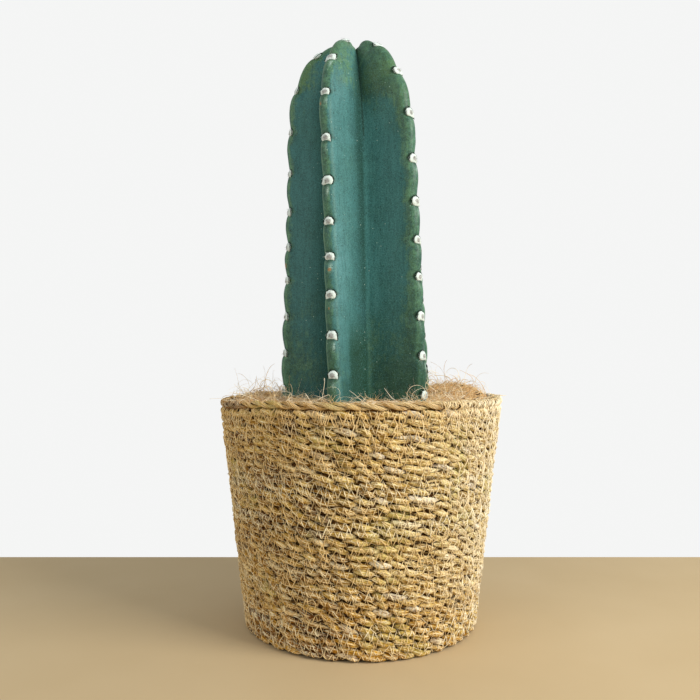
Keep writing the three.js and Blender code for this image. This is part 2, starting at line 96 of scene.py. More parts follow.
# The basket's cord rows and the mulch, as the solid model has them
BASKET_HEIGHT, MOUTH_RADIUS, FOOT_RADIUS = 225.3, 138.0, 113.0
CORD_ROWS, RIM_ROPE_RADIUS, WALL_TOP_Z = 32, 3.6, 217.8
ROW_PITCH = WALL_TOP_Z / CORD_ROWS
WALL_HALVES = (("lower", range(CORD_ROWS // 2)), ("upper", range(CORD_ROWS // 2, CORD_ROWS)))
CORD_REACH, PLY_SWELL, PLY_VARY = 4.1, 0.12, 0.08
RIM_CORD_Z, RIM_CORD_REACH = BASKET_HEIGHT - RIM_ROPE_RADIUS, 3.9
MULCH_RADIUS, MULCH_LOW_Z, MULCH_EDGE_DROP, MULCH_EDGE_WIDTH = 128.4, 218.5, 3.0, 12.0
MULCH_MOUNDS = ((98, 42, 44, 13), (-98, 18, 42, 5), (-10, 108, 58, 7.5))
MULCH_LUMP, MULCH_LUMP_X, MULCH_LUMP_Y = 1.1, 7.3, 6.1
BED_SINK, BED_BOTTOM_Z = 0.6, 205.0

# How far out and up loose fibres may go, and how low matted ones
FIBRE_REACH, FIBRE_TOP_Z, FIBRE_LOW_Z = 151.0, 262.0, 207

# How many there are of each loose thing
RIM_WRAPS, STRAWS, CURLS, HUSK_CHIPS = 200, 2200, 640, 26

# The camera looks level from this place, and the lights at the middle of the plant
CAMERA_PLACE, SENSOR_WIDTH, FOCAL_LENGTH = (-0.0105, -0.750, 0.2667), 36, 36 * 750 / 700
LIT_PLACE, KEY_PLACE, FILL_PLACE = (0, 0, 0.3), (1.35, -0.85, 1.0), (-1.2, -1.1, 0.9)


def smooth(start, end, value):
    """0 before start, 1 after end, and an S-curve between."""
    share = np.clip((value - start) / (end - start), 0, 1)
    return share * share * (3 - 2 * share)


def fading(start, end, value):
    """1 before start, 0 after end, and an S-curve between."""
    return 1 - smooth(start, end, value)


def bell(value):
    """1 at 0, and a bell curve to both sides."""
    return np.exp(-value ** 2)


def ripple(x, y, z, size, shift=0.0):
    """A smooth random value from about -1 to 1."""
    return 2 * noise.noise(Vector((x / size + shift, y / size - shift, z / size)))


# Crest line and growth


def measure_crest_line():
    """The crest line's lengths, radii and heights from the root over the crown."""
    side_z = np.linspace(ROOT_Z, SHOULDER_Z, CREST_STEPS, endpoint=False)
    side_radius = SHOULDER_RADIUS + (SHOULDER_Z - side_z) * BASE_SPREAD
    angle = np.linspace(0, math.pi / 2, CREST_STEPS + 1)
    radius = SHOULDER_RADIUS * np.clip(np.cos(angle), 0, 1) ** (2 / CROWN_POWER)
    dip = CROWN_DIP * bell(radius / CROWN_DIP_RADIUS)
    z = SHOULDER_Z + CROWN_RISE * np.sin(angle) ** (2 / CROWN_POWER) - dip
    radii = np.concatenate([side_radius, radius])
    heights = np.concatenate([side_z, z])
    moves = np.hypot(np.diff(radii), np.diff(heights))
    return np.concatenate([[0], np.cumsum(moves)]), radii, heights


CREST_LENGTHS, CREST_RADII, CREST_HEIGHTS = measure_crest_line()
CREST_END = CREST_LENGTHS[-1]


def side_length(z):
    """Length up the crest at a height below the shoulder."""
    return np.interp(z, CREST_HEIGHTS[:CREST_STEPS], CREST_LENGTHS[:CREST_STEPS])


FIRST_LENGTH = side_length(FIRST_AREOLE_Z)
KNOT_GROWTHS = np.arange(-2, len(AREOLE_SPACINGS) + 1, dtype=float)
KNOT_LENGTHS = FIRST_LENGTH + np.concatenate(
    [[-2 * LOWEST_SPACING, -LOWEST_SPACING, 0], np.cumsum(AREOLE_SPACINGS)])


def crest_point(length):
    """Radius and height of the crest line at a length up it."""
    radius = np.interp(length, CREST_LENGTHS, CREST_RADII)
    return radius, np.interp(length, CREST_LENGTHS, CREST_HEIGHTS)


def crest_normal(length):
    """Radial and upward parts of the crest line's normal."""
    low_radius, low_z = crest_point(np.maximum(length - 0.5, 0))
    high_radius, high_z = crest_point(np.minimum(length + 0.5, CREST_END))
    rise, run = high_z - low_z, high_radius - low_radius
    size = np.hypot(rise, run)
    return rise / size, -run / size


def length_at(growth):
    """Length up the crest at a number of areoles up the front rib."""
    return np.interp(growth, KNOT_GROWTHS, KNOT_LENGTHS)


def rib_drift(rib):
    return RIGHT_RIB_DRIFT if rib == RIGHT_RIB else 0.0


def areole_count(rib, length):
    """How many areoles up its own rib a length is."""
    growth = np.interp(length, KNOT_LENGTHS, KNOT_GROWTHS)
    return growth * (1 - rib_drift(rib)) - AREOLE_PHASES[rib]


def areole_length(rib, count):
    """Length up the crest at a number of areoles up a rib."""
    return length_at((count + AREOLE_PHASES[rib]) / (1 - rib_drift(rib)))


def rib_angle(rib, z):
    even = np.clip((z - TWIST_LOW_Z) / (EVEN_RIBS_Z - TWIST_LOW_Z), 0, 1)
    turn = np.clip((z - TWIST_LOW_Z) / (TWIST_HIGH_Z - TWIST_LOW_Z), -0.3, 1.15)
    place = RIB_ANGLES_LOW[rib] + (RIB_ANGLES_HIGH[rib] - RIB_ANGLES_LOW[rib]) * even
    return np.radians(place - TWIST_LOW - (TWIST_HIGH - TWIST_LOW) * turn)


def groove_angle(rib, z):
    """Angle of the groove after a rib."""
    after = (rib + 1) % RIBS
    wrap = 2 * math.pi if after == 0 else 0
    return (rib_angle(rib, z) + rib_angle(after, z) + wrap) / 2


def axis_x(z):
    return AXIS_X + LEAN_X * np.clip((z - LEAN_START_Z) / LEAN_RUN, 0, 1) ** LEAN_POWER


def lobe_height(rib, length, height):
    """How far the scallop between two areoles stands out."""
    count = areole_count(rib, length)
    down = np.ceil(count) - count
    fade = smooth(0, LOBE_FADE_LENGTH, CREST_END - length)
    return height * fade * np.sin(math.pi * down ** LOBE_SKEW)


def crown_reach(rib, radius, z):
    fade = smooth(CROWN_REACH_END_RADIUS, CROWN_REACH_RADIUS, radius)
    return CROWN_REACH[rib] * fade * smooth(CROWN_REACH_LOW_Z, CROWN_REACH_FULL_Z, z)


def crest_rounding(radius):
    return CREST_ROUNDING * (1 - np.exp(-CREST_ROUNDING_FADE * radius / CREST_ROUNDING))


def placed(radial, angle, z, side=0.0):
    """Points by distance from the axis, angle, height and side step, as an array of x, y, z."""
    x = axis_x(z) + radial * np.sin(angle) + side * np.cos(angle)
    y = -radial * np.cos(angle) + side * np.sin(angle)
    return np.stack(np.broadcast_arrays(x, y, z), axis=-1)


def around(radius, angle, z):
    """A point by distance from the basket's axis, angle and height."""
    return radius * math.sin(angle), -radius * math.cos(angle), z


def mulch_top(x, y):
    """Height of the mulch at a place."""
    edge = smooth(MULCH_RADIUS - MULCH_EDGE_WIDTH, MULCH_RADIUS, np.hypot(x, y))
    z = MULCH_LOW_Z - MULCH_EDGE_DROP * edge
    for mound_x, mound_y, spread, rise in MULCH_MOUNDS:
        z = z + rise * bell(np.hypot(x - mound_x, y - mound_y) / spread)
    return z + MULCH_LUMP * np.sin(x / MULCH_LUMP_X + 1.1) * np.sin(y / MULCH_LUMP_Y + 0.4)


def basket_radius(z):
    return FOOT_RADIUS + (MOUTH_RADIUS - FOOT_RADIUS) * z / BASKET_HEIGHT


# Mesh helpers


def new_object(name, points, faces=(), edges=(), attributes=None):
    """An object in the scene from points in millimetres, with float attributes on its points."""
    mesh = bpy.data.meshes.new(name)
    mesh.from_pydata((np.asarray(points, dtype=float) * MM).tolist(), list(edges), list(faces))
    for key, values in (attributes or {}).items():
        layer = mesh.attributes.new(key, "FLOAT", "POINT")
        layer.data.foreach_set("value", np.asarray(values, dtype=np.float32).ravel())
    made = bpy.data.objects.new(name, mesh)
    bpy.context.scene.collection.objects.link(made)
    return made


def ring_faces(rows, columns, start=0):
    """Quads through rows of points, each row running anticlockwise seen from above."""
    faces = []
    for row in range(rows - 1):
        low = start + row * columns
        high = low + columns
        for column in range(columns):
            after = (column + 1) % columns
            faces.append((low + column, low + after, high + after, high + column))
    return faces


def fan_faces(pole, ring_start, columns, upward):
    """Triangles from a pole to a ring of points."""
    faces = []
    for column in range(columns):
        first, second = ring_start + column, ring_start + (column + 1) % columns
        faces.append((pole, first, second) if upward else (pole, second, first))
    return faces


def finish_piece(piece, replaced=()):
    """Shades a piece smooth and hands it to the frame."""
    piece.data.polygons.foreach_set("use_smooth", [True] * len(piece.data.polygons))
    piece.data.update()
    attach(piece, BODY)
    if replaced:
        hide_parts(*replaced)


def settle(piece):
    """Turns a piece with a node modifier into a plain mesh."""
    bpy.context.view_layer.update()
    evaluated = piece.evaluated_get(bpy.context.evaluated_depsgraph_get())
    mesh = bpy.data.meshes.new_from_object(evaluated)
    old = piece.data
    piece.modifiers.clear()
    piece.data = mesh
    bpy.data.meshes.remove(old)
    mesh.name = piece.name


def apply_tree(piece, tree, values):
    """Runs a node tree on a piece with its named inputs set, and keeps the result as a mesh."""
    modifier = piece.modifiers.new(tree.name, "NODES")
    modifier.node_group = tree
    for item in tree.interface.items_tree:
        if item.in_out == "INPUT" and item.name in values:
            modifier[item.identifier] = values[item.name]
    settle(piece)


# Node helpers


class Wire:
    """A node's output, where a sum, a product or a blend adds the node that it takes."""

    def __init__(self, tree, socket):
        self.tree, self.socket = tree, socket

    def by(self, operation, other=0.0, clamp=False):
        """The result of a maths operation on this value, with a second one where it takes two."""
        return wire(self.tree, "ShaderNodeMath", {0: self, 1: other}, operation=operation, use_clamp=clamp)

    def __add__(self, other):
        return self.by("ADD", other)

    def __sub__(self, other):
        return self.by("SUBTRACT", other)

    def __mul__(self, other):
        return self.by("MULTIPLY", other)

    def __truediv__(self, other):
        return self.by("DIVIDE", other)

    def __rsub__(self, other):
        return wire(self.tree, "ShaderNodeMath", {0: other, 1: self}, operation="SUBTRACT")

    __radd__, __rmul__ = __add__, __mul__

    def vector(self, operation, other=None, output=0):
        """The result of a vector operation, where SCALE takes a number as its second value."""
        inputs = {0: self}
        if other is not None:
            inputs["Scale" if operation == "SCALE" else 1] = other
        return wire(self.tree, "ShaderNodeVectorMath", inputs, output, operation=operation)

    def part(self, axis):
        return wire(self.tree, "ShaderNodeSeparateXYZ", {0: self}, axis)

    def eased(self, from_min, from_max, to_min=0.0, to_max=1.0):
        """This value eased from one range to another, and held at its ends."""
        inputs = {0: self, 1: from_min, 2: from_max, 3: to_min, 4: to_max}
        return wire(self.tree, "ShaderNodeMapRange", inputs, interpolation_type="SMOOTHSTEP")

    def between(self, first, second, mode="MIX"):
        """Two colours mixed, with this value as the share of the second."""
        return wire(self.tree, "ShaderNodeMix", {0: self, 6: first, 7: second}, 2, data_type="RGBA",
                    blend_type=mode)

    def ramp(self, stops):
        """A colour picked by this value from stops of place and colour."""
        made = add_node(self.tree, "ShaderNodeValToRGB", {0: self})
        elements = made.color_ramp.elements
        while len(elements) < len(stops):
            elements.new(0.5)
        for element, (place, tone) in zip(elements, stops):
            element.position = place
            element.color = tone
        return Wire(self.tree, made.outputs[0])

    def noise(self, scale, detail=2.0, roughness=0.5, distortion=0.0, output="Fac"):
        """Noise at this place."""
        inputs = {"Vector": self, "Scale": scale, "Detail": detail, "Roughness": roughness,
                  "Distortion": distortion}
        return wire(self.tree, "ShaderNodeTexNoise", inputs, output)

    def drawn(self):
        """A random number for each value."""
        return wire(self.tree, "ShaderNodeTexWhiteNoise", {"W": self}, "Value", noise_dimensions="1D")

    def store(self, name, value, kind="FLOAT"):
        """This geometry with a value stored on its points."""
        inputs = {"Geometry": self, "Name": name, "Value": value}
        return wire(self.tree, "GeometryNodeStoreNamedAttribute", inputs, data_type=kind, domain="POINT")

    def moved(self, value, way="Offset"):
        """This geometry moved by an offset, or to a position."""
        return wire(self.tree, "GeometryNodeSetPosition", {"Geometry": self, way: value})


def add_node(tree, kind, inputs=None, **settings):
    """A node with its settings and inputs, where an input is a value or a wire."""
    made = tree.nodes.new(kind)
    for key, value in settings.items():
        setattr(made, key, value)
    for key, value in (inputs or {}).items():
        if isinstance(value, Wire):
            tree.links.new(value.socket, made.inputs[key])
        else:
            made.inputs[key].default_value = value
    return made


def wire(tree, kind, inputs=None, output=0, **settings):
    """One output of a new node."""
    return Wire(tree, add_node(tree, kind, inputs, **settings).outputs[output])


def combined(tree, x=0.0, y=0.0, z=0.0):
    return wire(tree, "ShaderNodeCombineXYZ", {0: x, 1: y, 2: z})


def layered(tone, *layers):
    """A tone with layers over it, each of them a share and the tone that it goes towards."""
    for share, target in layers:
        tone = share.between(tone, target)
    return tone


def colour(red, green, blue):
    """A colour from 0 to 255 parts, as the linear values that a shader takes."""
    def linear(part):
        part /= 255
        return part / 12.92 if part <= 0.04045 else ((part + 0.055) / 1.055) ** 2.4
    return (linear(red), linear(green), linear(blue), 1.0)


class Paint:
    """A material in the making, with its constants set on its shader."""

    def __init__(self, name, roughness, **constants):
        self.material = bpy.data.materials.new(name)
        self.material.use_nodes = True
        self.tree = self.material.node_tree
        self.shader = self.tree.nodes["Principled BSDF"]
        for key, value in dict(constants, roughness=roughness).items():
            key = key.replace("_", " ").title().replace("Ior", "IOR")
            self.shader.inputs[key].default_value = value
        self.place = wire(self.tree, "ShaderNodeTexCoord", output="Object")
        self.relief = None

    def attribute(self, name, output="Fac"):
        return wire(self.tree, "ShaderNodeAttribute", output=output, attribute_name=name)

    def cells(self, scale):
        """Voronoi cells: how far each place is from the middle of its cell, and the cell's colour."""
        made = add_node(self.tree, "ShaderNodeTexVoronoi", {"Vector": self.place, "Scale": scale})
        return Wire(self.tree, made.outputs["Distance"]), Wire(self.tree, made.outputs["Color"])

    def link(self, value, name="Base Color"):
        self.tree.links.new(value.socket, self.shader.inputs[name])

    def bump(self, height, distance, strength=1.0):
        """Adds relief on top of the relief so far."""
        inputs = {"Height": height, "Distance": distance, "Strength": strength}
        if self.relief:
            inputs["Normal"] = self.relief
        self.relief = wire(self.tree, "ShaderNodeBump", inputs)
        self.link(self.relief, "Normal")


# Materials


def skin_material(settings):
    """Waxy stem skin: blue-green bloom on the flanks, green crests, fine specks and scars."""
    paint = Paint("waxy_stem_skin", 0.5, specular_ior_level=0.22)
    place = paint.place
    height = place.part("Z")
    near, depth, margin, scar = (paint.attribute(name) for name in ("near", "depth", "margin", "scar"))
    hollow = paint.attribute("hollow")
    dark, pale = settings.shadow_and_speck_dark, settings.bloom_bright

    stretched = wire(paint.tree, "ShaderNodeMapping", {"Vector": place, "Scale": (1, 1, 0.13)})
    streaks = stretched.noise(420, 3, 0.6)
    wide_streaks = stretched.noise(130, 3, 0.55)
    broad = place.noise(24, 4, 0.55)
    mottle = place.noise(150, 5, 0.68, 0.7)
    grain = place.noise(760, 3, 0.65, 0.4)
    fine = place.noise(1250, 2, 0.6)

    flesh = mottle.eased(0.32, 0.68).between(settings.crest_dark, settings.crest_green)
    young = height.eased(0.46, 0.56) * broad.eased(0.38, 0.62, 0.1, 0.9)
    flesh = young.between(flesh, settings.young_green)
    bloom = wide_streaks.eased(0.3, 0.7, 0.3, 0.7).between(settings.bloom_dark, settings.bloom_pale)
    bloom = layered(bloom, (broad.eased(0.4, 0.66, 0, 0.5), settings.bloom_grey),
                    # Paler bloom: part real bloom, part painted light on the flanks and crests that face
                    # the key light
                    (paint.attribute("bloom_and_light") * mottle.eased(0.3, 0.6, 0.6, 1), pale))

    edge = paint.attribute("bare") + mottle.eased(0.2, 0.8, -0.22, 0.22)
    edge = edge + streaks.eased(0.25, 0.75, -0.14, 0.14) + broad.eased(0.3, 0.7, -0.22, 0.22)
    cover = edge.eased(0.22, 0.78, 1, 0)
    # Painted shade in the tight crease between the ribs on the crown
    crease = hollow.eased(0.94, 1.0) * height.eased(0.46, 0.48)
    ridge = (place.noise(330, 3, 0.6, 1.6) - 0.5).by("ABSOLUTE")
    net = ridge.eased(0.0, 0.05, 1, 0) * place.noise(48, 3, 0.6).eased(0.47, 0.62)
    tone = layered(
        cover.between(flesh, bloom),
        (streaks.eased(0.3, 0.5, 0.3, 0), settings.groove_shade_and_streak_dark),
        (streaks.eased(0.55, 0.75, 0, 0.22), pale),
        # Painted shade in the grooves, darker deeper in
        (depth.eased(0.4, 1.0, 0, 0.72), settings.groove_shade_and_streak_dark),
        (crease * 0.8, dark),
        # Painted shade: the shade attribute darkens flanks, crown and foot towards a dark green where shade
        # falls
        (paint.attribute("shade") * broad.eased(0.3, 0.6, 0.8, 1.0), settings.shade_and_foot_green),
        (net * 0.6, settings.groove_shade_and_streak_dark),
        (grain.eased(0.32, 0.47, 0.5, 0), dark),
        (grain.eased(0.54, 0.7, 0, 0.3), pale),
        (fine.eased(0.34, 0.48, 0.42, 0), dark),
        (fine.eased(0.54, 0.68, 0, 0.34), pale),
        (margin * mottle.eased(0.3, 0.6, 0.35, 1), settings.margin_pale),
        (paint.attribute("drip") * fine.eased(0.38, 0.5), settings.speck_pale),
        # Painted shadow in a ring round each areole, under the overhanging skin
        (near.eased(4.5, 8.0, 0.55, 0), dark))

    away, cell = paint.cells(260)
    chosen = wire(paint.tree, "ShaderNodeSeparateColor", {0: cell}).eased(0.86, 0.92)
    speck = away.eased(0.06, 0.15, 1, 0) * (chosen * 0.75)
    away, cell = paint.cells(200)
    chosen = wire(paint.tree, "ShaderNodeSeparateColor", {0: cell}, 1).eased(0.72, 0.82)
    spot = away.eased(0.08, 0.2, 1, 0) * (chosen * 0.6)
    scarred = (scar + mottle.eased(0.2, 0.8, -0.4, 0.4)).eased(0.45, 0.8)
    tone = layered(tone, (speck, settings.speck_pale), (spot, dark), (scarred * 0.8, settings.scar_brown))
    paint.link(tone)

    rough = cover.eased(0, 1, 0.38, 0.54) + grain.eased(0.3, 0.7, -0.06, 0.06)
    paint.link(rough + hollow.eased(0.35, 0.95, 0, 0.4), "Roughness")
    for relief, distance, strength in ((streaks, 0.0004, 0.4), (mottle, 0.0008, 0.4),
                                       (grain, 0.0005, 0.45), (fine, 0.0002, 0.3)):
        paint.bump(relief, distance, strength)
    return paint.material


def wool_material():
    """Areole wool: white felt, greyer with dark spine stubs towards the middle."""
    paint = Paint("areole_wool", 0.95, sheen_weight=0.35, sheen_roughness=0.6, specular_ior_level=0.1)
    core = paint.attribute("core")
    grain = paint.place.noise(1500, 3, 0.6)
    middle = core + paint.place.noise(500, 2, 0.5).eased(0.3, 0.7, -0.2, 0.2)
    stub = paint.cells(430)[0].eased(0.16, 0.36, 1, 0) * core.eased(0.35, 0.65)
    tone = middle.eased(0.35, 0.75).between(colour(216, 229, 222), colour(164, 166, 161))
    paint.link(layered(tone, (grain.eased(0.35, 0.5, 0.25, 0), colour(186, 188, 184)),
                       (stub * 0.75, colour(76, 74, 70))))
    paint.bump(grain, 0.0005, 0.6)
    return paint.material


def areole_shadow_material(settings):
    """Painted shadow: a dark shell round the top of an areole, where the skin above it casts shade."""
    paint = Paint("areole_painted_shadow", 0.6, specular_ior_level=0.2)
    grain = paint.place.noise(900, 3, 0.6)
    paint.link(grain.eased(0.35, 0.65).between(colour(20, 36, 24), settings.shadow_and_speck_dark))
    paint.bump(grain, 0.0004, 0.5)
    return paint.material


def seagrass_material(name, tones, bleached=0.0, reach=None, deep=0.0, shallow=1.0):
    """Twisted dry seagrass: each lens has its own tone, streaked along its blades, with painted shade in
    the gaps.
    """
    paint = Paint(name, 0.8, specular_ior_level=0.06)
    place, lens = paint.place, paint.attribute("lens")
    around = paint.attribute("around", "Vector")
    blade = combined(paint.tree, around.part("X") * 1.25, around.part("Y") * 1.25,
                     paint.attribute("along") * 60.0 + paint.attribute("strand") * 57.0)
    streaks = blade.noise(1.6, 3, 0.7)
    hairs = blade.noise(2.9, 2, 0.6)
    fine = place.noise(1300, 2, 0.5)
    across = place.part("X")

    level = lens * 0.7 + 0.13 + place.noise(17, 3, 0.6).eased(0.3, 0.7, -0.1, 0.1)
    level = level + place.noise(42, 2, 0.5).eased(0.3, 0.7, -0.08, 0.08)
    # Lighter and paler towards +X, the side the key light falls on: part bleached straw, part painted light
    level = level.by("ADD", across.eased(-0.11, 0.12, -bleached, bleached), clamp=True)
    tone = across.eased(0.0, 0.13, 0, bleached * 2.2).between(level.ramp(tones), colour(220, 208, 166))
    if bleached:
        # Darker and warmer towards the bottom; on the left, the side away from the key light, this is
        # painted shade
        low = place.part("Z").eased(0.0, 0.1, 0.84, 0)
        warm_low_and_shade = low.by("MAXIMUM", across.eased(-0.12, 0.02, 0.42, 0))
        # Near-white lenses, more of them on the lit side: part bleached blades, part painted light
        white = across.eased(-0.1, 0.06, 0.15, 0.85) * lens.eased(0.91, 0.95)
        tone = warm_low_and_shade.between(tone, colour(246, 210, 84), "MULTIPLY")
        tone = white.between(tone, colour(246, 238, 220))
    dark, pale = tones[0][1], tones[-1][1]
    tone = layered(
        streaks.eased(0.4, 0.5, 0.7, 0).between(tone, dark, "MULTIPLY"),
        (streaks.eased(0.52, 0.61, 0, 0.65), pale),
        (hairs.eased(0.54, 0.64, 0, 0.65), pale),
        (hairs.eased(0.36, 0.46, 0.8, 0), dark),
        (place.noise(26, 3, 0.6).eased(0.52, 0.68, 0, 0.42), colour(190, 182, 104)),
        (fine.eased(0.34, 0.5, 0.5, 0), dark))
    # Painted shade: surfaces that lie deep between plies and rows go almost black
    if reach:
        gap_shade = paint.attribute(reach).eased(deep * MM, shallow * MM, 0.95, 0)
        tone = gap_shade.between(tone, colour(46, 22, 6))
    paint.link(tone)
    for relief, distance, strength in ((streaks, 0.001, 0.8), (hairs, 0.0004, 0.6), (fine, 0.0002, 0.4)):
        paint.bump(relief, distance, strength)
    return paint.material


def fibre_material(name, dark, middle, pale, bleach_and_light=0.0):
    """Thin dry fibres, each with its own tone, paler on the right, the lit side: part bleaching, part
    painted light.
    """
    paint = Paint(name, 0.8, specular_ior_level=0.1)
    shade = paint.attribute("shade")
    tone = shade.eased(0.0, 0.5).between(colour(*dark), colour(*middle))
    paint.link(layered(tone, (shade.eased(0.5, 1.0), colour(*pale)),
                       (paint.place.noise(45, 3, 0.6).eased(0.4, 0.7, 0, 0.5), colour(*middle)),
                       (paint.place.part("X").eased(0.04, 0.13, 0, bleach_and_light), colour(250, 242, 218))))
    return paint.material


def mat_material():
    """The matted bed of coconut fibre under the loose fibres."""
    paint = Paint("coco_fibre_bed", 0.9, specular_ior_level=0.15)
    warped = paint.place.noise(220, 4, 0.7, 3.0)
    pale = paint.place.noise(620, 3, 0.7, 2.0).eased(0.5, 0.68, 0, 0.7)
    clumps = paint.place.noise(60, 3, 0.6).eased(0.3, 0.5, 0.3, 0)
    tone = warped.eased(0.35, 0.65).between(colour(156, 104, 54), colour(240, 192, 126))
    paint.link(layered(tone, (pale, colour(252, 224, 170)), (clumps, colour(84, 52, 24))))
    paint.bump(warped, 0.002, 0.9)
    return paint.material


def pot_material():
    """Black moulded plastic with a faint grain."""
    paint = Paint("nursery_pot_plastic", 0.45, specular_ior_level=0.45)
    dust = paint.place.noise(30, 4, 0.6).eased(0.4, 0.75, 0, 0.5)
    paint.link(dust.between(colour(28, 28, 29), colour(74, 66, 58)))
    paint.bump(paint.place.noise(700, 3, 0.6), 0.0002, 0.5)
    return paint.material


def soil_material():
    """Dark crumbly potting soil."""
    paint = Paint("potting_soil_crumb", 0.95, specular_ior_level=0.1)
    crumb = paint.cells(300)[0]
    tone = crumb.eased(0.1, 0.6).between(colour(36, 25, 17), colour(84, 62, 42))
    damp = paint.place.noise(70, 4, 0.6).eased(0.4, 0.6, 0, 0.5)
    paint.link(damp.between(tone, colour(48, 34, 24)))
    paint.bump(crumb, 0.002, 0.8)
    return paint.material


# Geometry node trees


def new_tree(name, defaults):
    """A node tree with a geometry input and output and inputs with defaults, and its inputs as wires."""
    tree = bpy.data.node_groups.new(name, "GeometryNodeTree")
    for way in ("INPUT", "OUTPUT"):
        tree.interface.new_socket("Geometry", in_out=way, socket_type="NodeSocketGeometry")
    for label, value in defaults.items():
        kind = "NodeSocketInt" if isinstance(value, int) else "NodeSocketFloat"
        tree.interface.new_socket(label, in_out="INPUT", socket_type=kind).default_value = value
    tree.interface.new_socket("Material", in_out="INPUT", socket_type="NodeSocketMaterial")
    outputs = tree.nodes.new("NodeGroupInput").outputs
    return tree, {socket.name: Wire(tree, socket) for socket in outputs if socket.name}


def end_tree(tree, geometry, given):
    """Ends a tree in Realize Instances and Set Material."""
    real = wire(tree, "GeometryNodeRealizeInstances", {0: geometry})
    real = wire(tree, "GeometryNodeSetMaterial", {0: real, "Material": given["Material"]})
    tree.links.new(real.socket, tree.nodes.new("NodeGroupOutput").inputs[0])
    return tree


def named(tree, name, kind="FLOAT"):
    return wire(tree, "GeometryNodeInputNamedAttribute", {"Name": name}, "Attribute", data_type=kind)


def random_number(tree, low, high, seed):
    return wire(tree, "FunctionNodeRandomValue", {2: low, 3: high, "Seed": seed}, 1, data_type="FLOAT")


def circle_profile(tree, given, radius):
    inputs = {"Resolution": given["Sides"], "Radius": radius}
    return wire(tree, "GeometryNodeCurvePrimitiveCircle", inputs, mode="RADIUS")


def swept(lines, profile, thick):
    """Tubes of a profile along lines."""
    inputs = {"Curve": lines, "Profile Curve": profile, "Scale": thick}
    return wire(lines.tree, "GeometryNodeCurveToMesh", inputs)


def cord_tree():
    """Twists plies, each of one or more strands, round centre lines that ring the basket."""
    tree, given = new_tree("Twisted cord", {
        "Plies": 2, "Strands": 1, "Ply Offset": 0.0016, "Strand Offset": 0.0, "Strand Radius": 0.0022,
        "Strand Twist": 1.6, "Sides": 8, "Ridge": 0.1, "Swell": 0.09, "Vary": 0.0, "Uneven": 0.1,
        "Seed": 1})
    plies, strands, offset = given["Plies"], given["Strands"], given["Ply Offset"]
    copies = add_node(tree, "GeometryNodeDuplicateElements", {
        "Geometry": wire(tree, "GeometryNodeMeshToCurve", {0: given["Geometry"]}),
        "Amount": plies * strands}, domain="SPLINE").outputs
    lines = Wire(tree, copies[0]).store("copy", Wire(tree, copies["Duplicate Index"]))
    copy, row = named(tree, "copy"), named(tree, "row")
    ply = ((copy + 0.01) / strands).by("FLOOR")
    strand = copy - ply * strands
    turn = named(tree, "twist") + ply / plies * (2 * math.pi)
    strand_turn = turn * given["Strand Twist"] + strand / strands * (2 * math.pi)
    passes = (turn / (2 * math.pi) + 0.5).by("FLOOR") + ply * 17.3 + row * 31.7
    lines = lines.store("strand", (copy * 0.377 + row * 0.618).by("FRACT"))
    lines = lines.store("along", wire(tree, "GeometryNodeSplineParameter", output="Length"))
    lines = lines.store("lens", passes.drawn())

    place = wire(tree, "GeometryNodeInputPosition")
    radial = place.vector("MULTIPLY", (1, 1, 0)).vector("NORMALIZE")
    outer = turn.by("COSINE").eased(-0.6, 0.8)

    def out_and_up(angle, distance):
        """A step away from the centre line at an angle from outwards towards up."""
        out = radial.vector("SCALE", angle.by("COSINE") * distance)
        return out.vector("ADD", combined(tree, z=angle.by("SINE") * distance))

    def varied(shift):
        """From -1 to 1 at random for each lens, and 0 on the cord's hidden side."""
        return ((passes + shift).drawn() * 2.0 - 1.0) * outer * given["Vary"]

    step = out_and_up(turn, offset * (1.0 + varied(0.31)))
    step = step.vector("ADD", out_and_up(strand_turn, given["Strand Offset"]))
    step = step.vector("ADD", combined(tree, z=offset * varied(0.57)))
    swell = 1.0 + (turn * 2.0).by("COSINE") * given["Swell"] + varied(0.83) * 0.8
    lines = lines.store("swell", swell).store("centre", place, "FLOAT_VECTOR").moved(step)

    ridged = 1 + wire(tree, "GeometryNodeInputIndex").by("MODULO", 2) * given["Ridge"]
    circle = circle_profile(tree, given, 1.0).store("around", place, "FLOAT_VECTOR")
    circle = circle.moved(place.vector("SCALE", ridged), "Position")
    uneven = place.vector("ADD", combined(tree, z=given["Seed"] * 0.37)).noise(90, 2)
    thick = named(tree, "swell") + uneven.eased(0.25, 0.75, -1, 1) * given["Uneven"]
    tubes = swept(lines, circle, given["Strand Radius"] * thick)
    # How far each surface lies from the cord's centre line, and how far out, for the painted shade in the
    # gaps
    step = place.vector("SUBTRACT", named(tree, "centre", "FLOAT_VECTOR"))
    tubes = tubes.store("away", step.vector("LENGTH", output="Value"))
    tubes = tubes.store("out", step.vector("DOT_PRODUCT", radial, "Value"))
    return end_tree(tree, tubes, given)


def thread_tree():
    """Gives drawn lines a thread's thickness, thinner where its taper attribute is lower."""
    tree, given = new_tree("Thread", {"Radius": 0.0004, "Sides": 3, "Uneven": 0.3})
    lines = wire(tree, "GeometryNodeMeshToCurve", {0: given["Geometry"]})
    swell = wire(tree, "GeometryNodeInputPosition").noise(160, 1).eased(0.3, 0.7, -1, 1)
    thick = given["Radius"] * (1 + swell * given["Uneven"]) * named(tree, "taper")
    return end_tree(tree, swept(lines, circle_profile(tree, given, 1.0), thick), given)


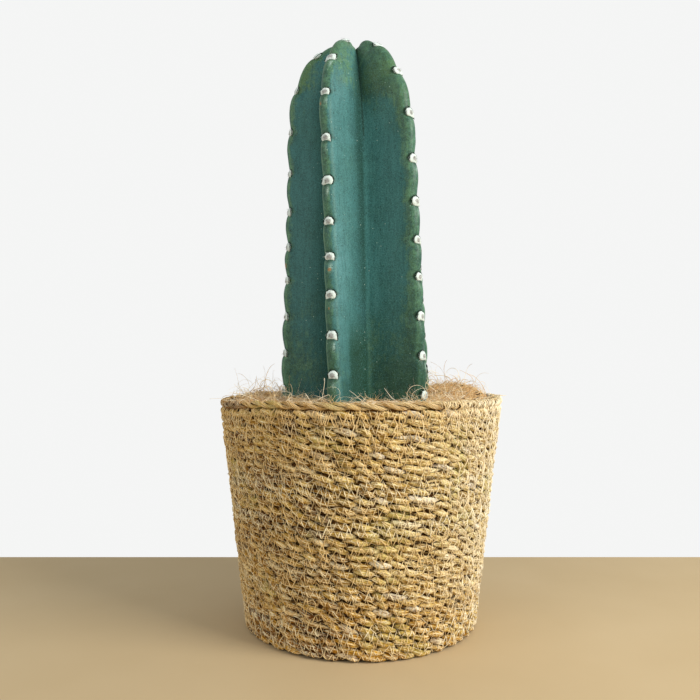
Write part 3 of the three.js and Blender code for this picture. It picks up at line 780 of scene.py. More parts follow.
def fibre_tree():
    """Grows curved fibres from a surface, denser where its share attribute is higher."""
    tree, given = new_tree("Fibres", {
        "Density": 100000.0, "Length": 0.02, "Length Spread": 0.4, "Thickness": 0.0003, "Tilt": 1.2,
        "Tilt Spread": 0.3, "Bend": 0.5, "Curl": 0.3, "Curl Scale": 60.0, "Sag": 0.0, "Reach": 10.0,
        "Lowest": -1.0, "Steps": 6, "Sides": 3, "Seed": 1})
    grown = add_node(tree, "GeometryNodeDistributePointsOnFaces", {
        "Mesh": given["Geometry"], "Density": given["Density"] * named(tree, "share"),
        "Seed": given["Seed"]}).outputs
    seeds = [given["Seed"] + float(step) for step in range(1, 6)]
    spread = given["Length Spread"]
    way = wire(tree, "FunctionNodeRandomValue", {0: (-1, -1, -1), 1: (1, 1, 1), "Seed": seeds[1]},
               data_type="FLOAT_VECTOR")
    points = Wire(tree, grown["Points"]).store("shade", random_number(tree, 0.0, 1.0, seeds[0]))
    points = points.store("bend_way", way, "FLOAT_VECTOR")
    points = points.store("size", given["Length"] * random_number(tree, 1 - spread, 1 + spread, seeds[2]))
    spin = random_number(tree, 0.0, 2 * math.pi, seeds[3])
    tilt = given["Tilt"] + given["Tilt Spread"] * random_number(tree, -1.0, 1.0, seeds[4])
    turned = Wire(tree, grown["Rotation"])
    for euler in (combined(tree, z=spin), combined(tree, tilt)):
        turn = wire(tree, "FunctionNodeEulerToRotation", {0: euler})
        turned = wire(tree, "FunctionNodeRotateRotation", {"Rotation": turned, "Rotate By": turn},
                      rotation_space="LOCAL")
    line = wire(tree, "GeometryNodeCurvePrimitiveLine", {"Start": (0, 0, 0), "End": (0, 0, 1)})
    line = wire(tree, "GeometryNodeResampleCurve", {"Curve": line, "Count": given["Steps"]})
    lines = wire(tree, "GeometryNodeInstanceOnPoints", {
        "Points": points, "Instance": line, "Rotation": turned, "Scale": named(tree, "size")})
    lines = wire(tree, "GeometryNodeRealizeInstances", {0: lines})

    factor = wire(tree, "GeometryNodeSplineParameter", output="Factor")
    place = wire(tree, "GeometryNodeInputPosition")
    way, size = named(tree, "bend_way", "FLOAT_VECTOR"), named(tree, "size")
    squared = factor * factor
    wave = place.vector("ADD", way.vector("SCALE", 3.0)).noise(given["Curl Scale"], 1.0, output="Color")
    wave = wave.vector("SUBTRACT", (0.5, 0.5, 0.5)).vector("SCALE", factor * size * given["Curl"])
    arc = way.vector("SCALE", squared * size * given["Bend"])
    sag = combined(tree, z=squared * size * (given["Sag"] * -1))
    lines = lines.moved(arc.vector("ADD", wave).vector("ADD", sag))
    far = place.vector("MULTIPLY", (1, 1, 0)).vector("LENGTH", output="Value")
    inside = (given["Reach"] / far.by("MAXIMUM", 0.001)).by("MINIMUM", 1)
    lines = lines.moved(combined(tree, place.part("X") * inside, place.part("Y") * inside,
                                 place.part("Z").by("MAXIMUM", given["Lowest"])), "Position")
    tubes = swept(lines, circle_profile(tree, given, 0.5), given["Thickness"] * (1 - squared * 0.6))
    return end_tree(tree, tubes, given)


# Settings


def length_setting(name, default, description):
    return bpy.props.FloatProperty(name=name, default=default * MM, unit="LENGTH", description=description)


def colour_setting(name, default, description):
    return bpy.props.FloatVectorProperty(name=name, default=colour(*default), size=4, min=0, max=1,
                                         subtype="COLOR", description=description)


class StemSettings(bpy.types.PropertyGroup):
    lobe_height: length_setting("Lobe height", 3.7, "How far a scallop stands out between areoles")
    groove_fillet: length_setting("Groove fillet", 1.8, "How far the bottom of a groove is filled")
    furrow_depth: length_setting("Furrow depth", 0.7, "Depth of the furrow that crosses a rib at an areole")
    areole_width: length_setting("Areole width", 10.0, "Width of an areole's cushion of wool")
    crest_green: colour_setting("Crest green", (90, 132, 99), "Green of the crests")
    crest_dark: colour_setting("Crest dark", (57, 91, 72), "Darker green of the crests")
    young_green: colour_setting("Young green", (96, 130, 72), "Yellow-green of the young crown")
    bloom_dark: colour_setting("Bloom dark", (49, 100, 97), "Bloom where it is thin")
    bloom_pale: colour_setting("Bloom pale", (67, 123, 121), "Bloom where it is thick")
    bloom_grey: colour_setting("Bloom grey", (59, 107, 97), "Broad greener patches of bloom")
    # Also the tone of the painted light on the flanks and crests that face the key light
    bloom_bright: colour_setting("Bloom bright", (92, 142, 142), "Freshest bloom")
    # Painted shade on the flanks, crown and foot goes towards this green, and so does the darkening towards
    # the foot
    shade_and_foot_green: colour_setting("Foot green", (26, 62, 44), "Older skin low on the stem")
    # Dark streaks and net in the skin go towards this, and so does the painted shade in the grooves
    groove_shade_and_streak_dark: colour_setting("Groove dark", (28, 66, 67), "Bottom of the grooves")
    margin_pale: colour_setting("Margin pale", (136, 176, 134), "Thin line along a crest's margins")
    # Painted shadow round the areoles and in the crown's crease goes towards this, and so do dark grain and
    # spots
    shadow_and_speck_dark: colour_setting("Collar dark", (26, 48, 34), "Dark skin round an areole")
    speck_pale: colour_setting("Speck pale", (186, 212, 198), "Small pale specks")
    scar_brown: colour_setting("Scar brown", (158, 116, 74), "Corky scars")


class BasketSettings(bpy.types.PropertyGroup):
    ply_radius: length_setting("Ply radius", 2.48, "Half the thickness of one ply of a row")
    ply_offset: length_setting("Ply offset", 1.8, "Distance of a ply from the row's centre")
    lens_length: length_setting("Lens length", 16.2, "Length of one ply between crossings")
    stitch_pitch: length_setting("Stitch pitch", 6.6, "Width of one V of sewing thread")
    thread_radius: length_setting("Thread radius", 0.42, "Half the sewing thread's thickness")
    rim_lens_length: length_setting("Rim lens length", 17.0, "Length of one ply on the rim cord")
    dark: colour_setting("Dark straw", (110, 70, 24), "Shaded and older blades")
    brown: colour_setting("Brown straw", (192, 152, 72), "Browner blades")
    middle: colour_setting("Middle straw", (219, 185, 98), "Most blades")
    pale: colour_setting("Pale straw", (235, 208, 130), "Paler blades")
    bleached: colour_setting("Bleached straw", (252, 241, 203), "Bleached blades")


class MulchSettings(bpy.types.PropertyGroup):
    fibre_length: length_setting("Fibre length", 13, "Length of a matted fibre")
    fibre_thickness: length_setting("Fibre thickness", 0.34, "Thickness of a matted fibre")
    curl_length: length_setting("Curl length", 36, "Length of a loose curly fibre")
    curl_radius: length_setting("Curl radius", 0.2, "Half the thickness of a loose curly fibre")


class StageSettings(bpy.types.PropertyGroup):
    floor_half: length_setting("Floor half width", 1300, "Half the width of the floor")
    floor_back: length_setting("Floor back", 216, "How far the floor goes on behind the basket's middle")
    key_power: bpy.props.FloatProperty(name="Key power", default=33, min=0, unit="POWER",
                                       description="Power of the light from the right")
    sky_strength: bpy.props.FloatProperty(name="Sky strength", default=0.58, min=0,
                                          description="Strength of the light from all round")


SETTINGS = (("cactus_stem", StemSettings), ("cactus_basket", BasketSettings),
            ("cactus_mulch", MulchSettings), ("cactus_stage", StageSettings))


# Stem


def row_lengths(phase):
    """Length up the crest, on a rib of a phase, of each row of the stem above its foot."""
    growths = [lobe + step / ROWS_PER_LOBE for lobe in range(-1, LAST_LOBE + 1)
               for step in range(ROWS_PER_LOBE)]
    shares = np.array([(step / CROWN_ROWS) ** CROWN_ROW_POWER for step in range(CROWN_ROWS)])
    return np.concatenate([
        length_at(phase - 1) * np.arange(ROWS_BELOW) / ROWS_BELOW,
        length_at(np.array(growths) + phase),
        length_at(LAST_LOBE + 1 + phase) * (1 - shares) + CREST_END * shares])


def skin_marks(z, across, length, rib, depth, side):
    """What the material needs to know about some columns of the skin, from their points' heights.

    Across is the distance from the crest, length how far up it a row is, depth goes from 0 at the edge
    of the crest's cap to 1 in the groove, and side is -1 or 1.
    """
    count = areole_count(rib, length)
    nearest = np.clip(np.round(count), -1, len(AREOLE_SPACINGS) - 1)
    along = (length - areole_length(rib, nearest))[:, None]
    across, hollow = np.broadcast_to(across, z.shape), np.broadcast_to(depth, z.shape) * 1.0
    # depth sets the painted shade in the grooves
    depth = hollow * smooth(0, 30, across)
    bloom_start, bloom_end, crown_bare, foot_bare, margin, old = SKIN_SIDES[rib][side > 0]
    bare = fading(bloom_start, bloom_end, across)
    bare = bare + crown_bare * smooth(486, 540, z) * (1 - 0.4 * smooth(8, 40, across))
    bare = bare + foot_bare * fading(236, 345, z) * (1 - 0.35 * smooth(10, 45, across))
    line = bell((across - 6.6) / 0.8) * margin * fading(520, 560, z)
    crest, below_crown = fading(8, 17, across), fading(390, 470, z)
    # Painted shade, kept as the largest of what is gathered here; old makes the skin darker towards the
    # foot
    bloom_and_light, shades = np.zeros(z.shape), [old * fading(235, 345, z)]
    if rib == FRONT_RIB:
        bare = bare * (1 - 0.36 * below_crown)
        # Painted light, with real bloom, on the front crest below the crown
        bloom_and_light = 0.2 * crest * below_crown
    elif rib == RIGHT_RIB:
        # Painted shade on the right rib's crest, which faces the key light
        shades.append(0.15 * crest)
    if rib == FRONT_RIB and side > 0:
        # Thicker bloom and painted light on the front rib's flank towards the key light
        bloom = smooth(2, 9, across) * fading(12, 40, across)
        bloom = bloom * (1 - 0.55 * smooth(350, 425, z)) * (1 - 0.6 * smooth(495, 535, z))
        bloom_and_light = np.maximum(bloom_and_light, bloom * (0.42 + 0.58 * smooth(255, 350, z)))
        # Painted shade on this flank: low down past the lit band, at the foot, by the groove and on the
        # crown
        shades += [smooth(0.14, 0.42, depth) * fading(262, 312, z),
                   0.6 * smooth(5, 14, across) * fading(228, 256, z),
                   0.55 * smooth(0.62, 0.9, depth) * smooth(290, 330, z),
                   0.6 * smooth(0.5, 0.85, depth) * smooth(495, 515, z)]
    elif rib == RIGHT_RIB and side < 0:
        if depth.min() >= 1:
            line = line + 0.06 * fading(280, 330, z)
        # Painted shade on the crown of the right rib's near flank
        shades.append(0.62 * smooth(9, 15, across) * smooth(498, 514, z))
        # Less painted shade in this flank's groove below the crown
        depth = depth * (0.3 + 0.25 * smooth(440, 480, z))
    elif rib == LEFT_RIB and side > 0:
        # Painted light, with real bloom, on the outer part of the left rib's flank
        bloom_and_light = 0.26 * smooth(5, 12, across) * fading(14, 36, across) * fading(400, 500, z)
        # Painted shadow of the front rib, darker towards the groove
        shades.append(0.42 * smooth(0.3, 0.9, depth))
    wet = 0.5 + 0.5 * np.sin(nearest * 2.7 + rib * 1.9)
    below = bell((along + 10) / 3.6) * wet[:, None]
    scar = np.zeros(z.shape)
    for scar_rib, scar_count, scar_side, width, tall in SCARS:
        if scar_rib == rib:
            away = ((across * side - scar_side) / width) ** 2 + ((count[:, None] - scar_count) / tall) ** 2
            scar = np.maximum(scar, np.exp(-away))
    return {
        "near": np.hypot(across, along), "depth": depth, "bare": np.clip(bare, 0, 1), "margin": line,
        "bloom_and_light": bloom_and_light, "scar": scar,
        "furrow": bell((along + 0.16 * across) / 2.1) * fading(10, 34, across) * fading(530, 560, z),
        "shade": np.maximum.reduce(shades),
        "drip": below * bell((across * side - 1.6 - np.sin(nearest)[:, None]) / 1.1), "hollow": hollow}


def stem_skin(settings):
    """Points, faces and attributes of the stem, foot included."""
    turns = np.radians(np.linspace(-CAP_TURN, CAP_TURN, CAP_POINTS))[None, :]
    shares = ((np.arange(FLANK_POINTS) + 1) / (FLANK_POINTS + 1))[None, :]
    t = shares[:, :, None]
    half = CAP_POINTS // 2
    grooves = []
    for rib in range(RIBS):
        phase = (AREOLE_PHASES[rib] + AREOLE_PHASES[(rib + 1) % RIBS]) / 2
        radius, z = crest_point(row_lengths(phase))
        inward = fading(CROWN_GROOVE_RADIUS, SHOULDER_RADIUS, radius)
        crown = inward * (1 - np.exp(-radius / APEX_FADE_RADIUS))
        grooves.append((radius * GROOVE_RATIO, groove_angle(rib, z), z - CROWN_GROOVE_DROP * crown))

    columns, marks = [], []
    for rib in range(RIBS):
        length = row_lengths(AREOLE_PHASES[rib])
        radius, z = crest_point(length)
        normal_out, normal_up = crest_normal(length)
        angle = rib_angle(rib, z)
        rounding = crest_rounding(radius)
        reach = crown_reach(rib, radius, z)
        rise = lobe_height(rib, length, settings.lobe_height / MM)
        swell = smooth(FLANK_SWELL_LOW_Z, FLANK_SWELL_FULL_Z, z)
        cap_across = rounding[:, None] * np.abs(turns)

        def cap(turn, lift):
            """Points of the rounded crest at a turn from the crest itself."""
            out = (lift - rounding)[:, None] + rounding[:, None] * np.cos(turn)
            side = rounding[:, None] * np.sin(turn)
            return placed(radius[:, None] + normal_out[:, None] * out, angle[:, None],
                          z[:, None] + normal_up[:, None] * out, side)

        for side, groove in ((-1, (rib - 1) % RIBS), (1, rib)):
            part = slice(None, half) if side < 0 else slice(half, None)
            edge = turns[:, :1] if side < 0 else turns[:, -1:]
            plain, scalloped = cap(edge, reach)[:, 0], cap(edge, reach + rise)[:, 0]
            deep, turn, groove_z = grooves[groove]
            if groove > rib:
                turn = turn - 2 * math.pi
            bottom = placed(deep, turn, groove_z)
            wide = np.linalg.norm(bottom - plain, axis=1)
            bulge = (FLANK_HOLLOW + (FLANK_SWELL - FLANK_HOLLOW) * swell) * smooth(0, NARROW_FLANK, wide)
            fill = settings.groove_fillet / MM * fading(470, 540, groove_z) * smooth(0, 30, deep)
            sideways = np.stack([side * np.cos(angle), side * np.sin(angle), 0 * angle], axis=-1)
            outward = np.stack([np.sin(turn), -np.cos(turn), 0 * turn], axis=-1)
            points = plain[:, None] * (1 - t) + bottom[:, None] * t
            points = points + (scalloped - plain)[:, None] * (1 - t) ** 2.2
            points = points + sideways[:, None] * (bulge[:, None, None] * 4 * t * (1 - t))
            points = points + outward[:, None] * (fill[:, None, None] * bell((1 - t) / 0.16))
            across = cap_across[:, -1:] + wide[:, None] * shares
            crest = (cap(turns[:, part], reach + rise), cap_across[:, part], 0.0)
            strips = [crest, (points, across, shares)]
            if side < 0:
                bottom = bottom + outward * fill[:, None]
                strips = [(bottom[:, None], cap_across[:, -1:] + 45, 1.0),
                          (points[:, ::-1], across[:, ::-1], shares[:, ::-1]), crest]
            for points, across, depth in strips:
                columns.append(points)
                marks.append(skin_marks(points[:, :, 2], across, length, rib, depth, side))

    grid = np.concatenate(columns, axis=1)
    foot = stem_foot(grid[0])
    grid = np.concatenate([foot, grid])
    marks = {key: np.concatenate([part[key] for part in marks], axis=1) for key in marks[0]}
    marks = {key: np.concatenate([value[:1]] * len(foot) + [value]) for key, value in marks.items()}
    grid = roughen(grid, marks["furrow"] * settings.furrow_depth / MM)
    _, apex_z = crest_point(CREST_END)
    poles = [[AXIS_X, 0, FOOT_END_Z], [axis_x(apex_z), 0, apex_z]]
    rows_made, columns_made = grid.shape[:2]
    points = np.concatenate([grid.reshape(-1, 3), poles])
    faces = ring_faces(rows_made, columns_made)
    faces += fan_faces(len(points) - 2, 0, columns_made, False)
    faces += fan_faces(len(points) - 1, (rows_made - 1) * columns_made, columns_made, True)
    ends = {"near": (40, 12), "bare": (1, 1)}
    marks = {key: np.concatenate([value.ravel(), ends.get(key, (0, 0))]) for key, value in marks.items()}
    return points, faces, marks


def stem_foot(outline):
    """Rows below the lowest ring, where the ribs run out into a round stump."""
    axis = np.array([AXIS_X, 0, 0])
    across = outline - axis
    turns = np.unwrap(np.arctan2(across[:, 1], across[:, 0]))
    circle = np.stack([np.cos(turns), np.sin(turns), 0 * turns], axis=-1)
    rows = []
    for z, radius, ribbed, round_share in FOOT_ROWS:
        row = (axis + across * ribbed) * (1 - round_share) + (axis + radius * circle) * round_share
        row[:, 2] = z
        rows.append(row)
    return np.array(rows)


# How the bloom lies on the two sides of each rib, the side after it second: where it starts and is full,
# in mm across from the crest, how bare the crown and the foot are, how clear the margin's line is, and
# how dark the foot is
SKIN_SIDES = (
    ((5, 13, 0.7, 0.5, 0.5, 0.3), (0.5, 6.5, 0.75, 0.25, 0.1, 0.2)),
    ((3, 22, 1.0, 0.8, 0.1, 0.72), (6, 20, 0.7, 0.8, 0.9, 0.5)),
    ((6, 20, 0.6, 0.8, 0.5, 0.45), (6, 22, 0.6, 0.8, 0.5, 0.45)),
    ((6, 18, 0.6, 0.8, 0.6, 0.45), (6, 24, 0.6, 0.8, 0.4, 0.45)),
    ((6, 18, 0.5, 0.8, 0.8, 0.4), (4, 15, 0.4, 0.55, 0.3, 0.16)),
)

# Scars: rib, areoles up it, step across the crest, half width in mm, half height in areoles
SCARS = (
    (0, 6.73, -3.4, 1.8, 0.13), (0, 2.65, 0.4, 2.6, 0.06), (0, 1.66, -0.5, 1.6, 0.04),
    (4, 2.4, 4, 3.2, 0.1), (4, 6.6, -3, 3, 0.12), (3, 4.4, 2, 4, 0.12), (2, 3.2, -4, 4, 0.1),
    (2, 5.7, 3, 2.6, 0.2), (3, 1.6, -4, 3, 0.15), (1, 2.7, 5, 2.4, 0.1),
)


def roughen(grid, furrows):
    """Small hollows and swellings that no grown stem is without, and the furrows at the areoles."""
    shaped = grid.copy()
    for row in range(len(grid)):
        centre = float(axis_x(grid[row, 0, 2]))
        for column in range(grid.shape[1]):
            x, y, z = grid[row, column]
            size = max(math.hypot(x - centre, y), 1.0)
            swell = 0.3 * ripple(x, y, z, 23) + 0.14 * ripple(x, y, z, 8) - furrows[row, column]
            swell *= min(size / 20, 1.0) / size
            shaped[row, column, 0] += (x - centre) * swell
            shaped[row, column, 1] += y * swell
    return shaped


def areole_places():
    """Every areole: its centre, its frame and how big it is."""
    draw = np.random.default_rng(11)
    places = []
    for rib in range(RIBS):
        turned = LEFT_AREOLES_TURN if rib == LEFT_RIB else 0.0
        lifted = RIGHT_AREOLES_OUT if rib == RIGHT_RIB else 0.0
        for count in range(-1, len(AREOLE_SPACINGS)):
            length = areole_length(rib, count)
            radius, z = crest_point(length)
            if z < LOWEST_AREOLE_Z or radius < APEX_CLEAR_RADIUS:
                continue
            out, up = crest_normal(length)
            crest_angle = rib_angle(rib, z)
            angle = crest_angle + turned
            outward = np.array([out * math.sin(angle), -out * math.cos(angle), up])
            sideways = np.array([math.cos(angle), math.sin(angle), 0])
            upward = np.cross(outward, sideways)
            centre = placed(radius, crest_angle, z) + outward * float(crown_reach(rib, radius, z))
            centre = centre + sideways * turned * LEFT_AREOLES_SHIFT + outward * lifted
            places.append((centre, outward, sideways, upward, draw.uniform(0.9, 1.1)))
    return places


def cushions(settings, grow, thickness, shift, rings, sides):
    """Low domes, a little narrower below and with a tail to each side there, one for each areole."""
    half = settings.areole_width / MM / 2 * grow
    points, faces, core = [], [], []
    for number, (centre, outward, sideways, upward, size) in enumerate(areole_places()):
        start = len(points)
        centre = centre + upward * shift
        for ring in range(rings):
            latitude = math.radians(-34 + 118 * ring / (rings - 1))
            for side in range(sides):
                turn = 2 * math.pi * side / sides
                across, along = math.cos(turn), math.sin(turn)
                if along < 0:
                    across = math.copysign(abs(across) ** 0.92, across)
                    along = -1.04 * abs(along) ** 0.92
                tail = (0.2 + 0.2 * math.sin(number * 2.3)) * math.exp(-((turn - 5.65) / 0.24) ** 2)
                tail += (0.1 + 0.08 * math.sin(number * 1.7)) * math.exp(-((turn - 3.7) / 0.26) ** 2)
                wide = half * size * (across * (1 + tail))
                tall = half * size * (0.9 * along - tail * 0.9)
                spot = (wide / 1.7 + number * 9.1, tall / 1.7, latitude)
                lump = 1 + 0.08 * ripple(*spot, 1) + 0.05 * ripple(*spot, 0.33)
                lump *= math.cos(latitude)
                out = thickness * size * math.sin(latitude) * (1 + 0.1 * ripple(*spot, 0.5)) + 0.45
                points.append(centre + sideways * wide * lump + upward * tall * lump + outward * out)
                core.append(math.exp(-((wide * lump / 3.1) ** 2 + ((tall * lump + 0.4) / 2.6) ** 2) ** 1.6))
        faces += ring_faces(rings, sides, start)
        points.append(centre + outward * (thickness * size + 0.45))
        points.append(centre - outward * 1.5)
        core += [0.6, 0.0]
        faces += fan_faces(len(points) - 2, start + (rings - 1) * sides, sides, True)
        faces += fan_faces(len(points) - 1, start, sides, False)
    return points, faces, core


class CACTUS_OT_stem(bpy.types.Operator):
    """Grow the ribbed stem with its scalloped crests"""
    bl_idname = "cactus.stem"
    bl_label = "Stem"

    def execute(self, context):
        settings = context.scene.cactus_stem
        points, faces, marks = stem_skin(settings)
        piece = new_object("stem_skin", points, faces, attributes=marks)
        piece.data.materials.append(skin_material(settings))
        finish_piece(piece, ["cactus_stem"])
        return {"FINISHED"}


class CACTUS_OT_areoles(bpy.types.Operator):
    """Set a cushion of wool on every areole, in a dark shell of painted shadow"""
    bl_idname = "cactus.areoles"
    bl_label = "Areoles"

    def execute(self, context):
        settings = context.scene.cactus_stem
        # A dark shell a little bigger than each cushion: painted shadow round its top
        points, faces, _ = cushions(settings, 1.16, 0.45, 0.6, 6, 18)
        shadow_shells = new_object("areole_painted_shadows", points, faces)
        shadow_shells.data.materials.append(areole_shadow_material(settings))
        finish_piece(shadow_shells)
        felt = wool_material()
        points, faces, core = cushions(settings, 1.0, 2.3, 0.0, 9, 20)
        domes = new_object("areole_cushions", points, faces, attributes={"core": core})
        domes.data.materials.append(felt)
        finish_piece(domes, ["cactus_stem"])
        wool = new_object("areole_wool", points, faces,
                          attributes={"core": core, "share": np.ones(len(points))})
        apply_tree(wool, fibre_tree(), {
            "Density": 2.9e5, "Length": 1.5 * MM, "Length Spread": 0.35, "Thickness": 0.17 * MM,
            "Tilt": 1.15, "Tilt Spread": 0.35, "Bend": 0.45, "Curl": 0.7, "Curl Scale": 500.0,
            "Steps": 4, "Sides": 3, "Seed": 5, "Material": felt})
        finish_piece(wool)
        return {"FINISHED"}


# Basket


def row_shape(row, angle, lens_length):
    """Radius, height and ply turn of a wall row's centre line at an angle."""
    z = ROW_PITCH * (row + 0.5)
    radius = basket_radius(z) - CORD_REACH
    x, y, _ = around(radius, angle, z)
    half_turns = round(2 * math.pi * radius / lens_length)
    free = min(row, CORD_ROWS - 1 - row, 4) / 4
    rise = free * (1.5 * ripple(x, y, z, 60) + 0.4 * ripple(x, y, z * 3, 15, 40))
    reach = free * 0.45 * ripple(x, y, z, 24, 70)
    turn = 1.2 * ripple(x, y, z, 45, 10) + 0.6 * ripple(x, y, z * 4, 13, 20) + 0.45 * math.sin(row * 2.4)
    rise += 1.2 if row == 0 else 0.0
    return radius + reach, z + rise - rim_sag(angle, z), turn - half_turns * angle / 2


def rim_sag(angle, z):
    """How far the soft mouth hangs down, most on its left and at its back."""
    side = float(smooth(0.6, 0.95, abs(math.sin(angle)))) * (1.5 if math.sin(angle) > 0 else 4.4)
    back = 3.5 * float(smooth(0, 0.7, -math.cos(angle)))
    return (1.6 + max(side, back)) * float(smooth(120, 217, z))


def rim_surface(angle, z):
    """How far out the rim cord reaches at an angle and height, or 0 above and below it."""
    away = z - RIM_CORD_Z + rim_sag(angle, RIM_CORD_Z)
    if abs(away) >= RIM_CORD_REACH:
        return 0.0
    return MOUTH_RADIUS - RIM_ROPE_RADIUS + math.sqrt(RIM_CORD_REACH ** 2 - away ** 2)


def ply_thickness(turn, radius):
    """A ply is plumper where it faces out or in than where it crosses the other."""
    return radius * (1 + PLY_SWELL * math.cos(2 * turn))


def wall_surface(row, angle, z, settings):
    """How far out the plies of a row and its neighbours reach at an angle and height."""
    found = 0.0
    lens_length, offset = settings.lens_length / MM, settings.ply_offset / MM
    for near_row in range(max(row - 1, 0), min(row + 2, CORD_ROWS)):
        radius, centre, turn = row_shape(near_row, angle, lens_length)
        for ply_turn in (turn, turn + math.pi):
            thick = ply_thickness(ply_turn, settings.ply_radius / MM) * 1.07
            away = z - centre - offset * math.sin(ply_turn)
            if abs(away) < thick:
                out = radius + offset * math.cos(ply_turn) + math.sqrt(thick ** 2 - away ** 2)
                found = max(found, out)
    return found or basket_radius(z) - CORD_REACH


class Rings:
    """Gathers centre lines of closed rings of cord, with how far each point's plies have twisted."""

    def __init__(self):
        self.points, self.edges, self.twists, self.marks = [], [], [], []

    def add(self, points, twists, mark):
        start, count = len(self.points), len(points)
        self.points += points
        self.edges += [(start + step, start + (step + 1) % count) for step in range(count)]
        self.twists += twists
        self.marks += [mark] * count

    def add_wall(self, rows, lens_length, step_length=2.6):
        """Adds rows of the wall."""
        for row in rows:
            count = int(round(2 * math.pi * basket_radius(ROW_PITCH * (row + 0.5)) / step_length))
            points, twists = [], []
            for step in range(count):
                angle = 2 * math.pi * (step / count - 0.5)
                radius, z, turn = row_shape(row, angle, lens_length)
                points.append(around(radius, angle, z))
                twists.append(turn)
            self.add(points, twists, row)

    def add_flat(self, radii, z, lens_length, step_length, seed, mark, hung=False):
        """Adds level rings, or rings that hang down as the soft mouth does."""
        draw = np.random.default_rng(seed)
        for row, radius in enumerate(radii):
            length = 2 * math.pi * radius
            count = int(round(length / step_length))
            half_turns = max(int(round(length / lens_length)), 1)
            first = draw.uniform(0, 2 * math.pi)
            points, twists = [], []
            for step in range(count):
                angle = 2 * math.pi * step / count
                x, y, _ = around(radius, angle, z)
                points.append((x, y, z - rim_sag(math.atan2(x, -y), z) if hung else z))
                twists.append(first - half_turns * angle / 2 + 0.3 * ripple(x, y, z, 20, seed))
            self.add(points, twists, mark + row)

    def make(self, name, tree, values, slot, replaced=()):
        """Twists cords along the gathered lines into a piece."""
        piece = new_object(name, self.points, edges=self.edges,
                           attributes={"twist": self.twists, "row": self.marks})
        apply_tree(piece, tree, values)
        finish_piece(piece, replaced)


def taut(heights):
    """The line of a thread pulled tight over points of the surface."""
    count = len(heights)
    pulled = list(heights)
    for first in range(count):
        for last in range(first + 2, count):
            for middle in range(first + 1, last):
                share = (middle - first) / (last - first)
                pulled[middle] = max(pulled[middle], heights[first] * (1 - share) + heights[last] * share)
    return pulled


class Lines:
    """Gathers lines of thread or fibre for the thread tree."""

    def __init__(self):
        self.points, self.edges, self.shades, self.tapers = [], [], [], []

    def add(self, points, shade, closed=False, tapered=False, thick=1.0):
        start, count = len(self.points), len(points)
        self.points += points
        self.shades += [shade] * count
        for step in range(count):
            self.tapers.append(thick * (1 - 0.65 * (step / count) ** 3 if tapered else 1.0))
        self.edges += [(start + step, start + step + 1) for step in range(count - 1)]
        if closed:
            self.edges.append((start + count - 1, start))

    def make(self, name, radius, uneven, material, slot):
        """Sweeps the gathered lines into a piece."""
        piece = new_object(name, self.points, edges=self.edges,
                           attributes={"shade": self.shades, "taper": self.tapers})
        apply_tree(piece, thread_tree(), {"Radius": radius, "Sides": 3, "Uneven": uneven,
                                          "Material": material})
        finish_piece(piece)


def stitch_row(lines, row, settings, pitch, low, high, draw, parts=7):
    """Adds a zigzag of thread, pulled tight, from low to high in row pitches from a row's centre."""
    z = ROW_PITCH * (row + 0.5)
    count = int(round(2 * math.pi * basket_radius(z) / pitch)) * 2
    shift = draw.uniform(0, 1)
    slides = draw.uniform(-0.42, 0.42, count)
    stretches = draw.uniform(-0.3, 0.3, count)
    points = []
    for leg in range(count):
        after = (leg + 1) % count
        way = 1 if leg % 2 == 0 else -1
        first, last = (low, high)[::way]
        first, last = first - way * stretches[leg], last + way * stretches[after]
        spots, heights = [], []
        for part in range(parts + 1):
            share = part / parts
            place = leg + share + slides[leg] * (1 - share) + slides[after] * share + shift
            angle = 2 * math.pi * (place / count - 0.5)
            height = z + ROW_PITCH * (first * (1 - share) + last * share)
            spots.append((angle, height))
            heights.append(wall_surface(row, angle, height, settings))
        held = heights[:1] + taut(heights)[1:-1] + heights[-1:]
        for part, (angle, height) in enumerate(spots[:-1]):
            if part and abs(2 * held[part] - held[part - 1] - held[part + 1]) < 0.1:
                continue
            points.append(around(held[part] + (0.3 if part else -0.5), angle, max(height, 0.6)))
    lines.add(points, draw.uniform(0.2, 1.0), closed=True)


def rim_wraps(lines, settings, draw):
    """Adds the thread and straw that hide the rim cord on the basket's right."""
    for number in range(RIM_WRAPS):
        angle = math.radians(29 + 83 * draw.uniform() ** 0.8)
        lean = (-1 if number % 2 else 1) * draw.uniform(1.5, 7.5)
        low, high = draw.uniform(-13, -4), draw.uniform(0.5, 3.7)
        points = []
        for step in range(7):
            share = step / 6
            spot = angle + lean * share / MOUTH_RADIUS
            z = RIM_CORD_Z - rim_sag(spot, RIM_CORD_Z) + low + (high - low) * share
            away = max(wall_surface(CORD_ROWS - 1, spot, z, settings), rim_surface(spot, z))
            points.append(around(away + 0.3, spot, z))
        lines.add(points, draw.uniform(0.4, 1.0))


def stray_straws(lines, settings, draw):
    """Adds short ends of straw that lie on the wall or lift off it a little."""
    for _ in range(STRAWS):
        row = int(draw.integers(1, CORD_ROWS - 1))
        angle = draw.uniform(-math.pi, math.pi)
        z = ROW_PITCH * (row + draw.uniform(0.1, 0.9))
        slope, length = draw.normal(-0.35, 0.55), draw.uniform(4, 11)
        lift, bend = draw.uniform(-0.3, 1.6), draw.uniform(-0.25, 0.25)
        points = []
        for share in (0, 0.5, 1):
            height = max(z + length * share * math.sin(slope + bend * share), 0.8)
            spot = angle + length * share * math.cos(slope) / basket_radius(z)
            away = wall_surface(row, spot, height, settings) + 0.25 + lift * share ** 2
            points.append(around(away, spot, height))
        lines.add(points, draw.uniform(0.3, 1.0), tapered=True)


